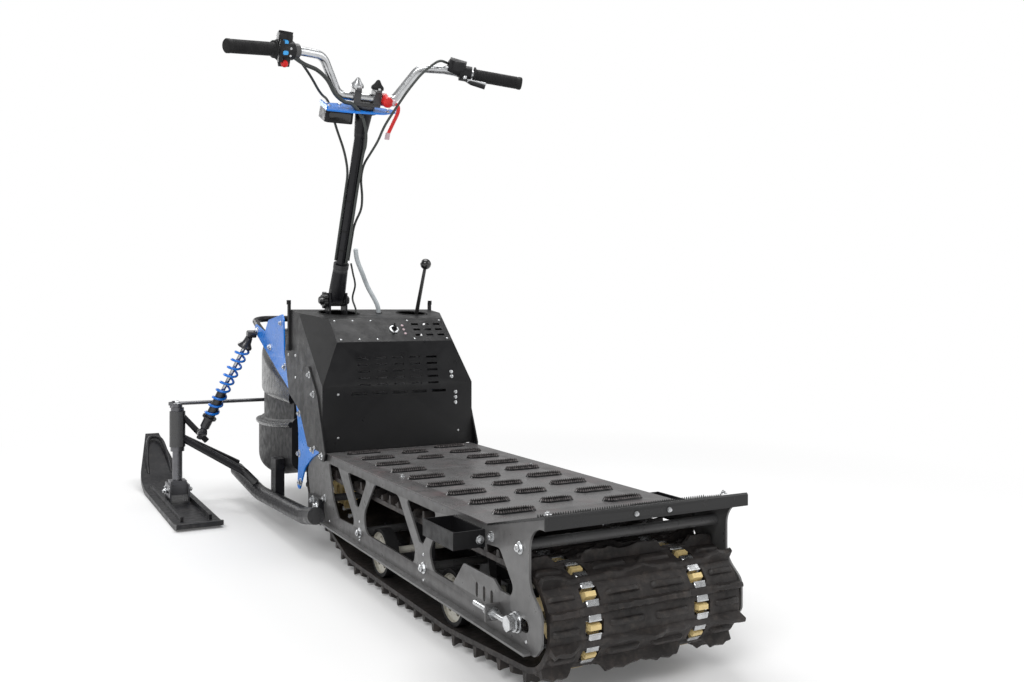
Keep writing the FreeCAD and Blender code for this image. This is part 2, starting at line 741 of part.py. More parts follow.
def hood_points():
    """Corners of the engine box on the left side, by name."""
    w, n = S.hood_half, S.hood_narrow
    slope = (S.hood_top_z - S.band_top_z) / (S.hood_top_front - S.band_top_at)
    knee = Vector(-w, at(S.hood_rear), S.hood_knee_z)
    band_low = Vector(-n, at(S.band_low_at), S.band_low_z)
    band_top = Vector(-n, at(S.band_top_at), S.band_top_z)
    # the corner facet meets the side sheet and the top sheet in one point
    normal = (band_low - knee).cross(band_top - knee)
    top_at_knee = S.band_top_z + slope * (S.hood_rear - S.band_top_at)
    reach = normal.z * (knee.z - top_at_knee) / (normal.y + normal.z * slope)
    shoulder = Vector(-w, knee.y + reach, top_at_knee + slope * reach)
    return {
        "foot": Vector(-w, at(S.hood_rear), S.deck_top + S.clear),
        "knee": knee, "band_low": band_low, "band_top": band_top, "shoulder": shoulder,
        "top_front": Vector(-w, at(S.hood_top_front), S.hood_top_z),
        "belly": Vector(-w, at(S.hood_belly_at), S.hood_belly_z),
        "chin": Vector(-w, at(S.hood_chin_at), S.hood_chin_z),
        "cheek": Vector(-w, at(S.hood_chin_at - 105), S.hood_chin_z - 40),
        "heel": Vector(-w, at(S.plate_front - 20), S.deck_top + S.clear),
    }


def flip(v):
    return Vector(-v.x, v.y, v.z)


def thick_face(points, inward):
    """A sheet of the box: the polygon thickened towards a point inside the box."""
    face = Part.Face(Part.makePolygon(points + points[:1]))
    normal = face.normalAt(0, 0)
    if normal.dot(inward - points[0]) < 0:
        normal = normal * -1
    return face.extrude(normal * S.hood_skin)


def louvre(x, y, z, length, height, deep=40):
    """A cutter for one vent slot in a rear sheet."""
    return Part.makeBox(length, deep, height, Vector(x - length / 2, y - deep / 2, z - height / 2))


def engine_box():
    c = hood_points()
    inside = Vector(0, at(1250), 450)

    def sheets(*polygons):
        shapes = [thick_face(p, inside) for p in polygons]
        whole = shapes[0]
        for other in shapes[1:]:
            whole = whole.fuse(other)
        return whole.removeSplitter()

    rear = sheets([c["foot"], c["knee"], flip(c["knee"]), flip(c["foot"])],
                  [c["knee"], c["band_low"], flip(c["band_low"]), flip(c["knee"])])
    band = sheets([c["band_low"], c["band_top"], flip(c["band_top"]), flip(c["band_low"])])
    top = sheets([c["band_top"], c["shoulder"], c["top_front"], flip(c["top_front"]),
                  flip(c["shoulder"]), flip(c["band_top"])])
    side = sheets([c["foot"], c["knee"], c["shoulder"], c["top_front"], c["belly"], c["chin"],
                   c["cheek"], c["heel"]],
                  [c["knee"], c["band_low"], c["band_top"], c["shoulder"]])
    front_half = S.half_body - 3
    front_points = [Vector(-front_half, c[k].y, c[k].z) for k in ("top_front", "belly", "chin")]
    upper, middle, lower = front_points
    front = sheets([upper, middle, flip(middle), flip(upper)], [middle, lower, flip(lower), flip(middle)])

    # vent slots in the rear sheet: five columns over a long lower row
    for x in (-96, -48, 0, 48, 96):
        for i in range(5):
            z = 500 - 17 * i
            y = at(S.hood_rear) + (z - S.hood_knee_z) * (S.band_low_at - S.hood_rear) / (S.band_low_z - S.hood_knee_z)
            rear = rear.cut(louvre(x, y, z, 30, 5))
    for x in (-112, -56, 0, 56, 112):
        rear = rear.cut(louvre(x, at(S.hood_rear), 410, 40, 7))
    # key switch hole and vent rows in the control band
    band_y, band_z = at((S.band_low_at + S.band_top_at) / 2), (S.band_low_z + S.band_top_z) / 2
    band = band.cut(Part.makeCylinder(11, 60, Vector(6, band_y - 30, band_z), Vector(0, 1, 0)))
    for x in (72, 104, 136):
        for dz in (-14, 0, 14):
            y = band_y + dz * (S.band_top_at - S.band_low_at) / (S.band_top_z - S.band_low_z)
            band = band.cut(louvre(x, y, band_z + dz, 20, 5, 30))
    # holes for the mast and the shift lever in the top sheet
    holes = ((S.mast_x, S.mast_at - 24, S.mast_hole_r), (S.lever_x, 1288, S.lever_hole_r),
             (S.mast_x + 118.2, 1296.1, 7.2))
    for x, station, r in holes:
        top = top.cut(Part.makeCylinder(r, 100, Vector(x, at(station), 560)))

    # each sheet gives way to the one before it
    band = band.cut(rear)
    top = top.cut(band)
    side_left = side.cut(rear.fuse([band, top]))
    front = front.cut(top)
    keep = max(side_left.Solids, key=lambda s: s.Volume)
    node("hood_rear", feature(rear))
    node("hood_control_band", feature(band))
    node("hood_top", feature(top))
    both_sides("hood_sides", feature(keep))
    node("hood_front", feature(front))


def engine():
    """The engine and gearbox as one plain block, carried on the side plates' front ends."""
    low = S.drive_z + S.wrap_r + S.belt_thick + S.lug_height + 8
    body = box((45 - S.half_body, at(1150), low), (S.half_body - 45, at(1385), 540))
    rest = S.deck_top - S.deck_thick
    foot = [box((x, at(1150), rest), (x + 5.5, at(1186), low + 2)) for x in (-S.half_body + 2, S.half_body - 7.5)]
    bearer = box((-S.half_body + 2, at(1150), low), (S.half_body - 2, at(1186), low + 10))
    node("engine_block", fuse(body, bearer, *foot))


def hood_straps():
    """Bent flat bars from the box's sides down to the side plates."""
    x = -S.hood_half - S.clear
    outline = [(at(1252), 472, 8), (at(1196), 478, 8), (at(1118), 404, 30), (at(1056), 268, 8),
               (at(1064), 246, 8), (at(1098), 246, 8), (at(1112), 280, 8), (at(1160), 388, 30), (at(1252), 438, 8)]
    bar = sketched("hood_strap", "YZ_Plane", x - 4, [outline], 4)
    reach = rod(8, (x - 2, at(1080), 254), (-S.half_body - S.clear, at(1080), 254))
    both_sides("hood_straps", fuse(bar, reach))


def hood_latches():
    """Rubber latches at the box's front corners."""
    x = -S.hood_half - S.clear
    pull = rod(6, (x - 4, at(1381), 640), (x - 4, at(1381), 652))
    strap = box((x - 6, at(1374), 520), (x, at(1388), 646))
    hook = box((x - 8, at(1370), 512), (x, at(1392), 530))
    both_sides("hood_latches", fuse(strap, pull, hook))


def shift_lever():
    base = (S.lever_x, at(1284), 548)
    top = (S.lever_x + 4, at(1196), 752)
    stalk = cone(6.5, 4.5, base, top)
    mount = rod(20, (S.lever_x, at(1284), 540), (S.lever_x, at(1284), 556))
    node("shift_lever", fuse(stalk, ball("ball_r", top), mount))


# ---------------------------------------------------------------- mast and handlebar

def mast_frame():
    """Fold pin, unit vectors along the mast and rearward across it, in the build frame."""
    lean = math.radians(S.mast_lean)
    pin = Vector(S.mast_x, at(S.mast_at), S.mast_z)
    up = Vector(0, -math.sin(lean), math.cos(lean))
    back = Vector(0, -math.cos(lean), -math.sin(lean))
    return pin, up, back


def on_mast(x, along, back_by=0.0):
    """A point given sideways, along and behind the mast, from the fold pin."""
    pin, up, back = mast_frame()
    return tuple(pin + Vector(x, 0, 0) + up * along + back * back_by)


def mast_base():
    """The fork on the chassis that carries the fold pin."""
    x, y, z = S.mast_x, at(S.mast_at), S.mast_z
    floor = 540 + S.clear
    cheeks = [box((x + s, y - 22, floor), (x + s + 5, y + 22, z + 20)) for s in (-26, 21)]
    plate = box((x - 30, y - 30, floor), (x + 30, y + 30, floor + 8))
    pin = rod(6, (x - 34, y, z), (x + 32, y, z))
    head = prism(6, 11, (x + 26, y, z), (x + 36, y, z))
    node("mast_base", fuse(plate, *cheeks, pin, head))


def mast_knob():
    """The clamping knob on the end of the fold pin."""
    x, y, z = S.mast_x - 26.3, at(S.mast_at), S.mast_z
    hub = cut(rod(13, (x - 14, y, z), (x, y, z)), rod(6.05, (x - 8, y, z), (x + 1, y, z)))
    wings = [rod(7, (x - 12, y + 16 * math.cos(a), z + 16 * math.sin(a)),
                 (x - 2, y + 16 * math.cos(a), z + 16 * math.sin(a)))
             for a in [math.radians(30 + 60 * k) for k in range(6)]]
    grip = cut(rod(17, (x - 12, y, z), (x - 2, y, z)), rod(6.05, (x - 13, y, z), (x, y, z)))
    cap = cone(13, 9, (x - 14, y, z), (x - 22, y, z))
    node("mast_knob", fuse(cut(fuse(grip, *wings), rod(6.05, (x - 9, y, z), (x, y, z))), hub, cap))


def mast_foot():
    """The folding foot: an eye on the pin and a sleeve for the mast tube."""
    pin, up, back = mast_frame()
    eye = rod(17, (pin.x - 20.5, pin.y, pin.z), (pin.x + 20.5, pin.y, pin.z))
    sleeve = cone(24, 20, tuple(pin), on_mast(0, 96))
    bore = rod("mast_r + 0.3", on_mast(0, 40), on_mast(0, 130))
    hole = rod(6.1, (pin.x - 40, pin.y, pin.z), (pin.x + 40, pin.y, pin.z))
    trim = [box_on_mast(a, b, -S.mast_long - 60, -S.mast_long + 36, -60, 60)
            for a, b in ((-60, -20.5), (20.5, 60))]
    node("mast_foot", cut(fuse(eye, sleeve), bore, hole, *trim))


def steering_mast():
    top = S.mast_long - 24
    tube_ = rod("mast_r", on_mast(0, 40.3), on_mast(0, top))
    collar = rod(21, on_mast(0, 96.6), on_mast(0, 110))
    head = cone(16, 24, on_mast(0, top - 80), on_mast(0, top))
    plate = rod(26, on_mast(0, top), on_mast(0, top + 5))
    seat = rod(31, on_mast(0, top - 14), on_mast(0, top - 9 - S.clear))
    node("steering_mast", fuse(tube_, collar, head, plate, seat))


def bar_points():
    """Corners of the handlebar's centre line, from the left end to the right end."""
    half, rise, sweep = S.bar_half, S.bar_rise, S.bar_sweep
    top = S.mast_long
    out = [(-half, rise + 2, sweep), (-188, rise, sweep * 0.32), (-128, rise - 8, 8), (-74, 0, 0)]
    mirror = [(-x, a, b) for x, a, b in reversed(out)]
    return [on_mast(x, top + a, b) for x, a, b in out + mirror]


def handlebar():
    bends = [60, 38, 28, 28, 38, 60]
    node("handlebar", feature(tube(bar_points(), S.bar_r, bends)))


def grip_span(side):
    """Ends of a grip along the bar's outer run, from the inner end to the outer end."""
    points = bar_points()
    outer, inner = (points[0], points[1]) if side == LEFT else (points[-1], points[-2])
    outer, inner = Vector(*outer), Vector(*inner)
    along = (outer - inner).normalize()
    return outer - along * (S.grip_long - 2), outer + along * 3, along


def grips():
    pieces = []
    for side in (LEFT, RIGHT):
        start, end, along = grip_span(side)
        body = rod("grip_r", tuple(start), tuple(end))
        flange = rod(21, tuple(start), tuple(start + along * 4))
        bore = rod("bar_r + 0.1", tuple(start - along), tuple(end - along * 3 + along * 0.1))
        pieces.append(cut(fuse(body, flange), bore))
    node("grips", group(*pieces))


def bar_clamps():
    """Two saddles and caps that hold the handlebar on the mast's plate."""
    clamps = []
    for x in (-27, 27):
        low, high = x - 9, x + 9
        post = box_on_mast(low, high, -19 + 5, 20, -15, 15)
        ears = box_on_mast(low + 2, high - 2, 20, 26, -19, 19)
        bore = rod("bar_r + 0.05", on_mast(low - 5, S.mast_long), on_mast(high + 5, S.mast_long))
        clamps.append(cut(fuse(post, ears), bore))
    bridge = box_on_mast(-36, 36, -19 + 0.3, -13, -17, 17)
    node("bar_clamps", fuse(*clamps, bridge))


def box_on_mast(x_low, x_high, along_low, along_high, back_low, back_high):
    """A block square to the mast, measured from the handlebar's centre."""
    pin, up, back = mast_frame()
    thing = doc.addObject("Part::Box", "Block")
    thing.Length, thing.Width, thing.Height = x_high - x_low, back_high - back_low, along_high - along_low
    corner = pin + Vector(x_low, 0, 0) + up * (S.mast_long + along_low) + back * back_high
    thing.Placement = Placement(corner, Rotation(Vector(1, 0, 0), S.mast_lean))
    return thing


def dash_plate():
    """The blue plate under the handlebar, with a wing to each side."""
    outline = [(-112, -46, 6), (-104, 24, 6), (-40, 40, 10), (24, 40, 10), (98, 22, 3), (104, 12, 3),
               (44, -30, 8), (-40, -46, 8)]
    pin, up, back = mast_frame()
    vectors = rounded(outline)
    wire = Part.Wire([c.toShape() for c in vectors])
    solid = Part.Face(wire).extrude(Vector(0, 0, 4))
    hole = Part.makeCylinder(24, 20, Vector(0, 0, -8))
    lips = Part.makeBox(4, 62, 12, Vector(-112, -42, 0))
    solid = solid.cut(hole).fuse(lips).removeSplitter()
    solid.Placement = Placement(pin + Vector(0, 0, 0) + up * (S.mast_long - 33),
                                Rotation(Vector(1, 0, 0), S.mast_lean))
    node("dash_plate", feature(solid))


def dash_unit():
    """The control unit hung under the plate's left wing."""
    shell = box_on_mast(-108, -34, -66, -33.3, -34, 30)
    node("dash_unit", shell)


def on_bar(side, inset, back=0.0, rise=0.0):
    """A point beside the bar's outer run, inset from its end."""
    start, end, along = grip_span(side)
    pin, up, rear = mast_frame()
    return tuple(end - along * (inset + 3) + rear * back + up * rise)


def switch_cluster():
    """The left-hand switch housing, clamped on the bar inside the grip."""
    a, b = Vector(*on_bar(LEFT, S.grip_long + 4)), Vector(*on_bar(LEFT, S.grip_long + 44))
    body = rod(23, tuple(a), tuple(b))
    pod = cone(18, 13, on_bar(LEFT, S.grip_long + 24, 0, -8), on_bar(LEFT, S.grip_long + 26, 6, -38))
    top = cone(15, 17, on_bar(LEFT, S.grip_long + 24, -2, 4), on_bar(LEFT, S.grip_long + 26, -8, 42))
    bore = rod("bar_r + 0.1", on_bar(LEFT, S.grip_long - 8), on_bar(LEFT, S.grip_long + 60))
    node("switch_cluster", cut(fuse(body, pod, top), bore))


def brake_lever():
    """The brake perch and lever in front of the left grip."""
    a, b = on_bar(LEFT, S.grip_long + 46), on_bar(LEFT, S.grip_long + 62)
    ring = rod(17, a, b)
    arm = feature(tube([on_bar(LEFT, S.grip_long + 54, -8, 2), on_bar(LEFT, S.grip_long + 50, -44, 2),
                        on_bar(LEFT, S.grip_long - 10, -60, 0), on_bar(LEFT, 22, -60, -2)], 5.5, [10, 30]))
    tip = ball(8, on_bar(LEFT, 20, -60, -2))
    bore = rod("bar_r + 0.1", on_bar(LEFT, S.grip_long + 40), on_bar(LEFT, S.grip_long + 70))
    node("brake_lever", cut(fuse(ring, arm, tip), bore))


def throttle():
    """The right-hand throttle housing and its thumb lever."""
    a, b = on_bar(RIGHT, S.grip_long + 4), on_bar(RIGHT, S.grip_long + 34)
    ring = rod(20, a, b)
    case = cone(22, 22, on_bar(RIGHT, S.grip_long + 20, -4, 8), on_bar(RIGHT, S.grip_long + 62, -8, 12))
    thumb = feature(tube([on_bar(RIGHT, S.grip_long + 30, 14, -8), on_bar(RIGHT, S.grip_long + 12, 30, -16),
                          on_bar(RIGHT, S.grip_long - 22, 36, -20)], 6, [14]))
    bore = rod("bar_r + 0.1", on_bar(RIGHT, S.grip_long - 8), on_bar(RIGHT, S.grip_long + 110))
    node("throttle", cut(fuse(ring, case, thumb), bore))


def kill_switch():
    """The red stop button right of the clamps, with its tether tag."""
    ring = rod(16, on_mast(40, S.mast_long), on_mast(54, S.mast_long))
    button = cone(8.5, 11, on_mast(47, S.mast_long, 10), on_mast(49, S.mast_long + 2, 38))
    bore = rod("bar_r + 0.1", on_mast(36, S.mast_long), on_mast(58, S.mast_long))
    node("kill_switch", cut(fuse(ring, button), bore))


# ---------------------------------------------------------------- cables

def cable(points, radius):
    """A cable along its route, with arcs as large as the runs allow."""
    vectors = [Vector(*p) for p in points]
    bends = []
    for a, b, c in zip(vectors, vectors[1:], vectors[2:]):
        run = min(a.distanceToPoint(b), b.distanceToPoint(c))
        turn = math.pi - (a - b).getAngle(c - b)
        bends.append(0.45 * run / math.tan(max(turn, 0.05) / 2))
    return tube(points, radius, bends)


def upper_cables():
    """Cables from the hand controls that run down the mast and turn with it."""
    low, side = 120, S.mast_r + 3.5
    brake = [on_bar(LEFT, S.grip_long + 64, -8, -14), on_mast(-150, S.mast_long + 40, -4),
             on_mast(-112, S.mast_long - 8, -22), on_mast(-76, S.mast_long - 30, -64),
             on_mast(-54, S.mast_long - 90, -50), on_mast(-30, S.mast_long - 150, -18),
             on_mast(-side, S.mast_long - 200, 0), on_mast(-side, low, 0)]
    gas = [on_bar(RIGHT, S.grip_long + 65, -8, 17), on_mast(166, S.mast_long + 126, 40),
           on_mast(122, S.mast_long + 92, 50), on_mast(86, S.mast_long + 40, 56),
           on_mast(60, S.mast_long - 10, 58), on_mast(40, S.mast_long - 56, 54),
           on_mast(36, S.mast_long - 100, 38), on_mast(30, S.mast_long - 138, 16),
           on_mast(20, S.mast_long - 176, 1), on_mast(side, S.mast_long - 215, 0),
           on_mast(30, S.mast_long - 265, 2), on_mast(33, S.mast_long - 300, 2),
           on_mast(side + 1, S.mast_long - 345, 0), on_mast(side, low, 0)]
    node("brake_cable", feature(cable(brake, 3.2)))
    node("throttle_cable", feature(cable(gas, 3.2)))


def lower_cables():
    """Leads from the mast foot into the engine box."""
    top_z = S.band_top_z + 16
    green = [on_mast(24, 104, 0), on_mast(32, 84, 6), on_mast(44, 56, 10), on_mast(44, 20, 6),
             (S.mast_x + 47, at(1282), top_z + 4), (S.mast_x + 46, at(1288), top_z - 40)]
    hose = [on_mast(38, 118, 2), on_mast(58, 92, 6), on_mast(88, 44, 6),
            (S.mast_x + 112, at(1292), top_z + 26), (S.mast_x + 124, at(1300), top_z - 30)]
    node("green_lead", feature(cable(green, 2.6)))
    node("hose_lead", feature(cable(hose, 6.5)))


# ---------------------------------------------------------------- front end

def front_brackets():
    """Blue plates bolted outside the side plates, which carry the front end."""
    outline = [
        (at(1300), 138, 10), (at(1322), 142, 10), (at(1310), 215, 60), (at(1312), 300, 80), (at(1334), 372, 50),
        (at(1440), 416, 60), (at(1506), 440, 20), (at(1800), 556, 8), (at(1790), 580, 8), (at(1674), 556, 12),
        (at(1632), 594, 14), (at(1476), 612, 10), (at(1462), 596, 10), (at(1456), 480, 40), (at(1300), 446, 50),
        (at(1258), 380, 60), (at(1240), 318, 40), (at(1182), 298, 20), (at(1126), 286, 8), (at(1122), 262, 8),
        (at(1186), 240, 40), (at(1250), 205, 60),
    ]
    start = -S.half_body - S.clear - S.bracket_thick
    both_sides("front_brackets", sketched("front_bracket", "YZ_Plane", start, [outline], "bracket_thick"))


def lower_beams():
    """Round beams from the side plates' lower front corners to the front end."""
    x = -S.half_body - S.clear - S.beam_r
    path = [(x, at(1092), 108), (x, at(1190), 90), (x, at(1660), 70), (x, at(1960), 96)]
    beam = feature(tube(path, S.beam_r, [200, 600]))
    pad_low = (-S.half_body - S.clear - 14, at(1098), 104)
    pad = box(pad_low, (-S.half_body - S.clear, at(1186), 148))
    hanger = box((x, at(1480), 70), (-S.half_body + 4 - S.clear, at(1530), 196))
    both_sides("lower_beams", fuse(beam, pad, hanger))


def loft(sections):
    """A solid through closed sections, each a list of (x, z, radius) at a station, rounded."""
    wires = []
    for station, outline in sections:
        curves = [c.toShape() for c in rounded(outline)]
        wire = Part.Wire(curves)
        wire.Placement = Placement(Vector(0, at(station), 0), Rotation(Vector(1, 0, 0), 90))
        wires.append(wire)
    return Part.makeLoft(wires, True, True).removeSplitter()


def belly(half, low, high, r_low, r_high):
    """A rounded box section, symmetric about the middle."""
    return [(-half, low, r_low), (half, low, r_low), (half, high, r_high), (-half, high, r_high)]


def nose_hull():
    """The lower plastic body between the beams, with a rolled upper edge."""
    w = S.half_body - 4
    hull = loft([(1412, belly(w, 170, 320, 30, 22)), (1600, belly(w, 132, 300, 30, 22)),
                 (1760, belly(w - 6, 122, 290, 32, 22)), (1880, belly(w - 24, 128, 286, 36, 24)),
                 (1980, belly(w - 58, 148, 280, 40, 26)), (2050, belly(w - 92, 176, 272, 36, 26)),
                 (2090, belly(w - 126, 205, 264, 24, 22))])
    post = box((-40, at(1560), 290), (40, at(1600), S.cowl_low - S.clear))
    node("nose_hull", fuse(feature(hull), post))


def nose_cowl():
    """The upper plastic body, rising forward to the headlight."""
    w, low = S.half_body - 8, S.cowl_low
    cowl = loft([(1452, belly(w, low, 412, 14, 20)), (1560, belly(w, low, 452, 18, 36)),
                 (1700, belly(w - 4, low, 502, 20, 60)), (1830, belly(w - 20, low, 548, 24, 80)),
                 (1920, belly(w - 42, low, 562, 30, 84)), (2000, belly(w - 68, low, 548, 34, 76)),
                 (2060, belly(w - 94, low, 510, 36, 62)), (2104, belly(w - 124, low + 8, 440, 30, 30))])
    lugs = [box((x - 12, at(1494), 400), (x + 12, at(1516), 458 - 9 - S.clear)) for x in (-140, 140)]
    socket = rod(48 + S.clear, (0, at(2040), 462), (0, at(2140), 436))
    node("nose_cowl", cut(fuse(feature(cowl), *lugs), socket))


def nose_crossbar():
    """The bar between the blue brackets that carries the cowl."""
    end = S.half_body
    node("nose_crossbar", rod(9, (-end, at(1505), 458), (end, at(1505), 458)))


def nose_rail():
    """A tube hoop over the cowl, bolted to the tips of the blue brackets."""
    x = -S.half_body + 10
    half = [(x, at(1540), 494), (x, at(1800), 568), (x + 20, at(1950), 594)]
    path = half + [(-p[0], p[1], p[2]) for p in reversed(half)]
    node("nose_rail", feature(tube(path, 10, [400, 60, 60, 400])))


def headlight():
    node("headlight", cone(48, 44, (0, at(2040) + S.clear, 462 - S.clear / 4), (0, at(2112), 443)))


def ski_profile():
    """The ski from the side: flat, with a curved tip."""
    t = S.ski_thick
    rear, tip, high = at(S.ski_rear), at(S.ski_tip), S.ski_tip_z
    return [(rear, 8, 6), (rear + 40, 0, 60), (tip - 250, 0, 260), (tip, high, 0), (tip - 9, high + t * 0.3, 0),
            (tip - 258, t, 250), (rear + 40, t, 40), (rear, t + 8, 5)]


def skis():
    """Plastic skis with a centre rib and a pointed tip."""
    half = S.ski_wide / 2
    x = -S.ski_side
    blade = sketched("ski_blade", "YZ_Plane", x - half, [ski_profile()], "ski_wide")
    plan = [(x - half, at(S.ski_rear) - 5, 0), (x + half, at(S.ski_rear) - 5, 0), (x + half, at(S.ski_tip - 200), 200),
            (x + 20, at(S.ski_tip) + 5, 10), (x - 20, at(S.ski_tip) + 5, 10), (x - half, at(S.ski_tip - 200), 200)]
    form = sketched("ski_plan", "XY_Plane", -5, [plan], 300)
    t = S.ski_thick
    ribs = [box((x + r, at(S.ski_rear + 60), t - 1), (x + r + 8, at(S.ski_tip - 280), t + 14))
            for r in (-44, 36)]
    pair("ski", fuse(common(blade, form), *ribs))


def spindles():
    """Spindle, saddle and steering arm, which turn with the ski."""
    x, y = -S.ski_side, at(S.spindle_at)
    base = S.ski_thick + S.clear
    cheeks = [box((x + s, y - 46, base), (x + s + 5, y + 46, 74)) for s in (-30, 25)]
    pin = rod(7, (x - 36, y, 52), (x + 36, y, 52))
    saddle = box((x - 24.7, y - 24, 40), (x + 24.7, y + 24, 84))
    shaft = rod("spindle_r", (x, y, 78), (x, y, S.housing_high + 22))
    collar = rod(21, (x, y, S.housing_low - 14), (x, y, S.housing_low - 0.5))
    nut = prism(6, 15, (x, y, S.housing_high + 12), (x, y, S.housing_high + 24))
    arm_z = S.housing_high + 4
    eye_y = y + S.arm_reach
    arm = box((x - 8, y, arm_z), (x + 8, eye_y, arm_z + 8))
    hub = rod(20, (x, y, arm_z - 3.5), (x, y, arm_z + 8))
    eye = rod(11, (x, eye_y, arm_z), (x, eye_y, arm_z + 8))
    pin_up = rod(5, (x, eye_y, arm_z), (x, eye_y, arm_z + 22))
    pair("ski_spindle", fuse(*cheeks, pin, saddle, shaft, collar, nut, arm, hub, eye, pin_up))


def tie_rod():
    """The rod across the machine between the two steering arms."""
    y, z = at(S.spindle_at) + S.arm_reach, S.housing_high + 17 + S.clear
    eyes = []
    for x in (-S.ski_side, S.ski_side):
        eyes.append(cut(rod(15, (x, y, z - 5), (x, y, z + 5)), rod(11.2, (x, y, z - 8), (x, y, z + 8))))
    bar = rod(6, (-S.ski_side + 14, y, z), (S.ski_side - 14, y, z))
    node("tie_rod", fuse(bar, *eyes))


def suspension_arms():
    """Arms from the lower beams to the spindle housings."""
    x, y = -S.ski_side, at(S.spindle_at)
    beam_x = -S.half_body - S.clear - S.beam_r
    housing = cut(rod(24, (x, y, S.housing_low), (x, y, S.housing_high)),
                  rod("spindle_r + 0.1", (x, y, S.housing_low - 1), (x, y, S.housing_high + 1)))
    low_front = feature(tube([(beam_x - 2, at(1948), 118), (x + 20, y + 6, S.housing_low + 24)], 12, []))
    low_rear = feature(tube([(beam_x - 2, at(1700), 92), (beam_x - 34, at(1720), 128),
                             (x + 20, y - 4, S.housing_low + 24)], 12, [30]))
    brace = rod(9, (x + 16, y, S.housing_high - 16), (x + 90, y - 4, S.housing_low + 12))
    solid = cut(fuse(housing, low_front, low_rear, brace),
                rod("spindle_r + 0.1", (x, y, S.housing_low - 1), (x, y, S.housing_high + 1)),
                *[feature(tube([(beam_x, at(1660), 70), (beam_x, at(1960), 96)], S.beam_r + S.clear, []))])
    both_sides("suspension_arms", solid)


def shocks():
    """Coil-over shocks from the arms to the blue brackets."""
    lower = (-S.ski_side + 70, at(S.spindle_at - 30), S.housing_low + 44)
    upper = (-S.half_body - 22, at(1776), 548)
    a, b = Vector(*lower), Vector(*upper)
    d = (b - a).normalize()
    body = rod(15, tuple(a + d * 20), tuple(a + d * 150))
    rod_ = rod(7, tuple(a + d * 140), tuple(b - d * 6))
    spring = rod(23, tuple(a + d * 60), tuple(b - d * 46))
    eye_low = rod(12, (lower[0] - 14, lower[1], lower[2]), (lower[0] + 14, lower[1], lower[2]))
    link = rod(9, tuple(a - d * 22), tuple(a + d * 22))
    eye_up = rod(12, (upper[0] - 12, upper[1], upper[2]), (-S.half_body - S.clear - S.bracket_thick - 0.3, upper[1], upper[2]))
    both_sides("shocks", fuse(body, rod_, spring, eye_low, link, eye_up))


# ---------------------------------------------------------------- build

side_plates()
footboard()
kick_bar()
side_pockets()
cross_shafts()
track_belt()
sprocket_pair("rear_sprockets", S.rear_axle_at, S.rear_axle_z)
sprocket_pair("drive_sprockets", S.drive_at, S.drive_z)
rear_axle()
drive_axle()
road_wheels("rear_road_wheels", S.wheel_rear_at)
road_wheels("front_road_wheels", S.wheel_front_at)
slide_rails()
engine_box()
engine()
hood_straps()
hood_latches()
shift_lever()
mast_base()
mast_knob()
mast_foot()
steering_mast()
handlebar()
grips()
bar_clamps()
dash_plate()
dash_unit()
switch_cluster()
brake_lever()
throttle()
kill_switch()
upper_cables()
lower_cables()
front_brackets()
lower_beams()
nose_hull()
nose_cowl()
nose_crossbar()
nose_rail()
headlight()
skis()
spindles()
tie_rod()
suspension_arms()
shocks()

doc.recompute()
for thing in doc.Objects:
    if "Invalid" in thing.State or "Error" in thing.State:
        raise RuntimeError(f"{thing.Label} failed: {thing.State}")
os.makedirs("parts", exist_ok=True)
for label, thing in NODES.items():
    shape = thing.Shape
    if shape.isNull() or not shape.isValid() or not shape.Solids:
        raise RuntimeError(f"{label} has no valid solid")
    shape.exportStep(f"parts/{label}.step")
print(len(NODES), "sub-parts")
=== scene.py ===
import json
import math
import random

import bmesh
import bpy
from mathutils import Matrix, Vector


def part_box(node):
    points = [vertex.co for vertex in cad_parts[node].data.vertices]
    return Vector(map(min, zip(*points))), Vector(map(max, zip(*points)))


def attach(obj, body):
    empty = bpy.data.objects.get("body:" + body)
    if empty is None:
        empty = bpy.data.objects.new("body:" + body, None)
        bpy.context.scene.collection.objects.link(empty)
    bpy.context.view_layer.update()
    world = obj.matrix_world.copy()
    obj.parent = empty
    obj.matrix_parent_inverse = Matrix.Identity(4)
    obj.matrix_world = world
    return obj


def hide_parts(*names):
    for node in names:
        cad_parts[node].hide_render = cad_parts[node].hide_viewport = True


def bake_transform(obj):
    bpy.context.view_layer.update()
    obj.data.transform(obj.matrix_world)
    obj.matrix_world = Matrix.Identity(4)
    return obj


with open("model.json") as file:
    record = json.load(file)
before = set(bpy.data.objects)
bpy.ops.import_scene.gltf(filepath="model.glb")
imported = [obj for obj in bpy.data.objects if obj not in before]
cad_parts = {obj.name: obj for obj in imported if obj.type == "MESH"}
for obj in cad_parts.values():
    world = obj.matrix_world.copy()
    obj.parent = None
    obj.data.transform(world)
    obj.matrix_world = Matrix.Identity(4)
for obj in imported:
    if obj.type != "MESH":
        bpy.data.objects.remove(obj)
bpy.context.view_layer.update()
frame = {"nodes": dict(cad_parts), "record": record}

X, Y, Z = Vector((1, 0, 0)), Vector((0, 1, 0)), Vector((0, 0, 1))
MM = 0.001
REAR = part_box("kick_bar")[0].y
LEFT, RIGHT = -1, 1
draw = random.Random(7)


def at(station):
    """Y, in metres, of a station in millimetres forward of the kick bar's rear face."""
    return REAR + station * MM


def place(x, station, z):
    """A point from millimetres across, station and height."""
    return Vector((x * MM, at(station), z * MM))


# ---------------------------------------------------------------- materials

def socket(shader, name, value):
    """Sets a constant on the shader."""
    shader.inputs[name].default_value = value


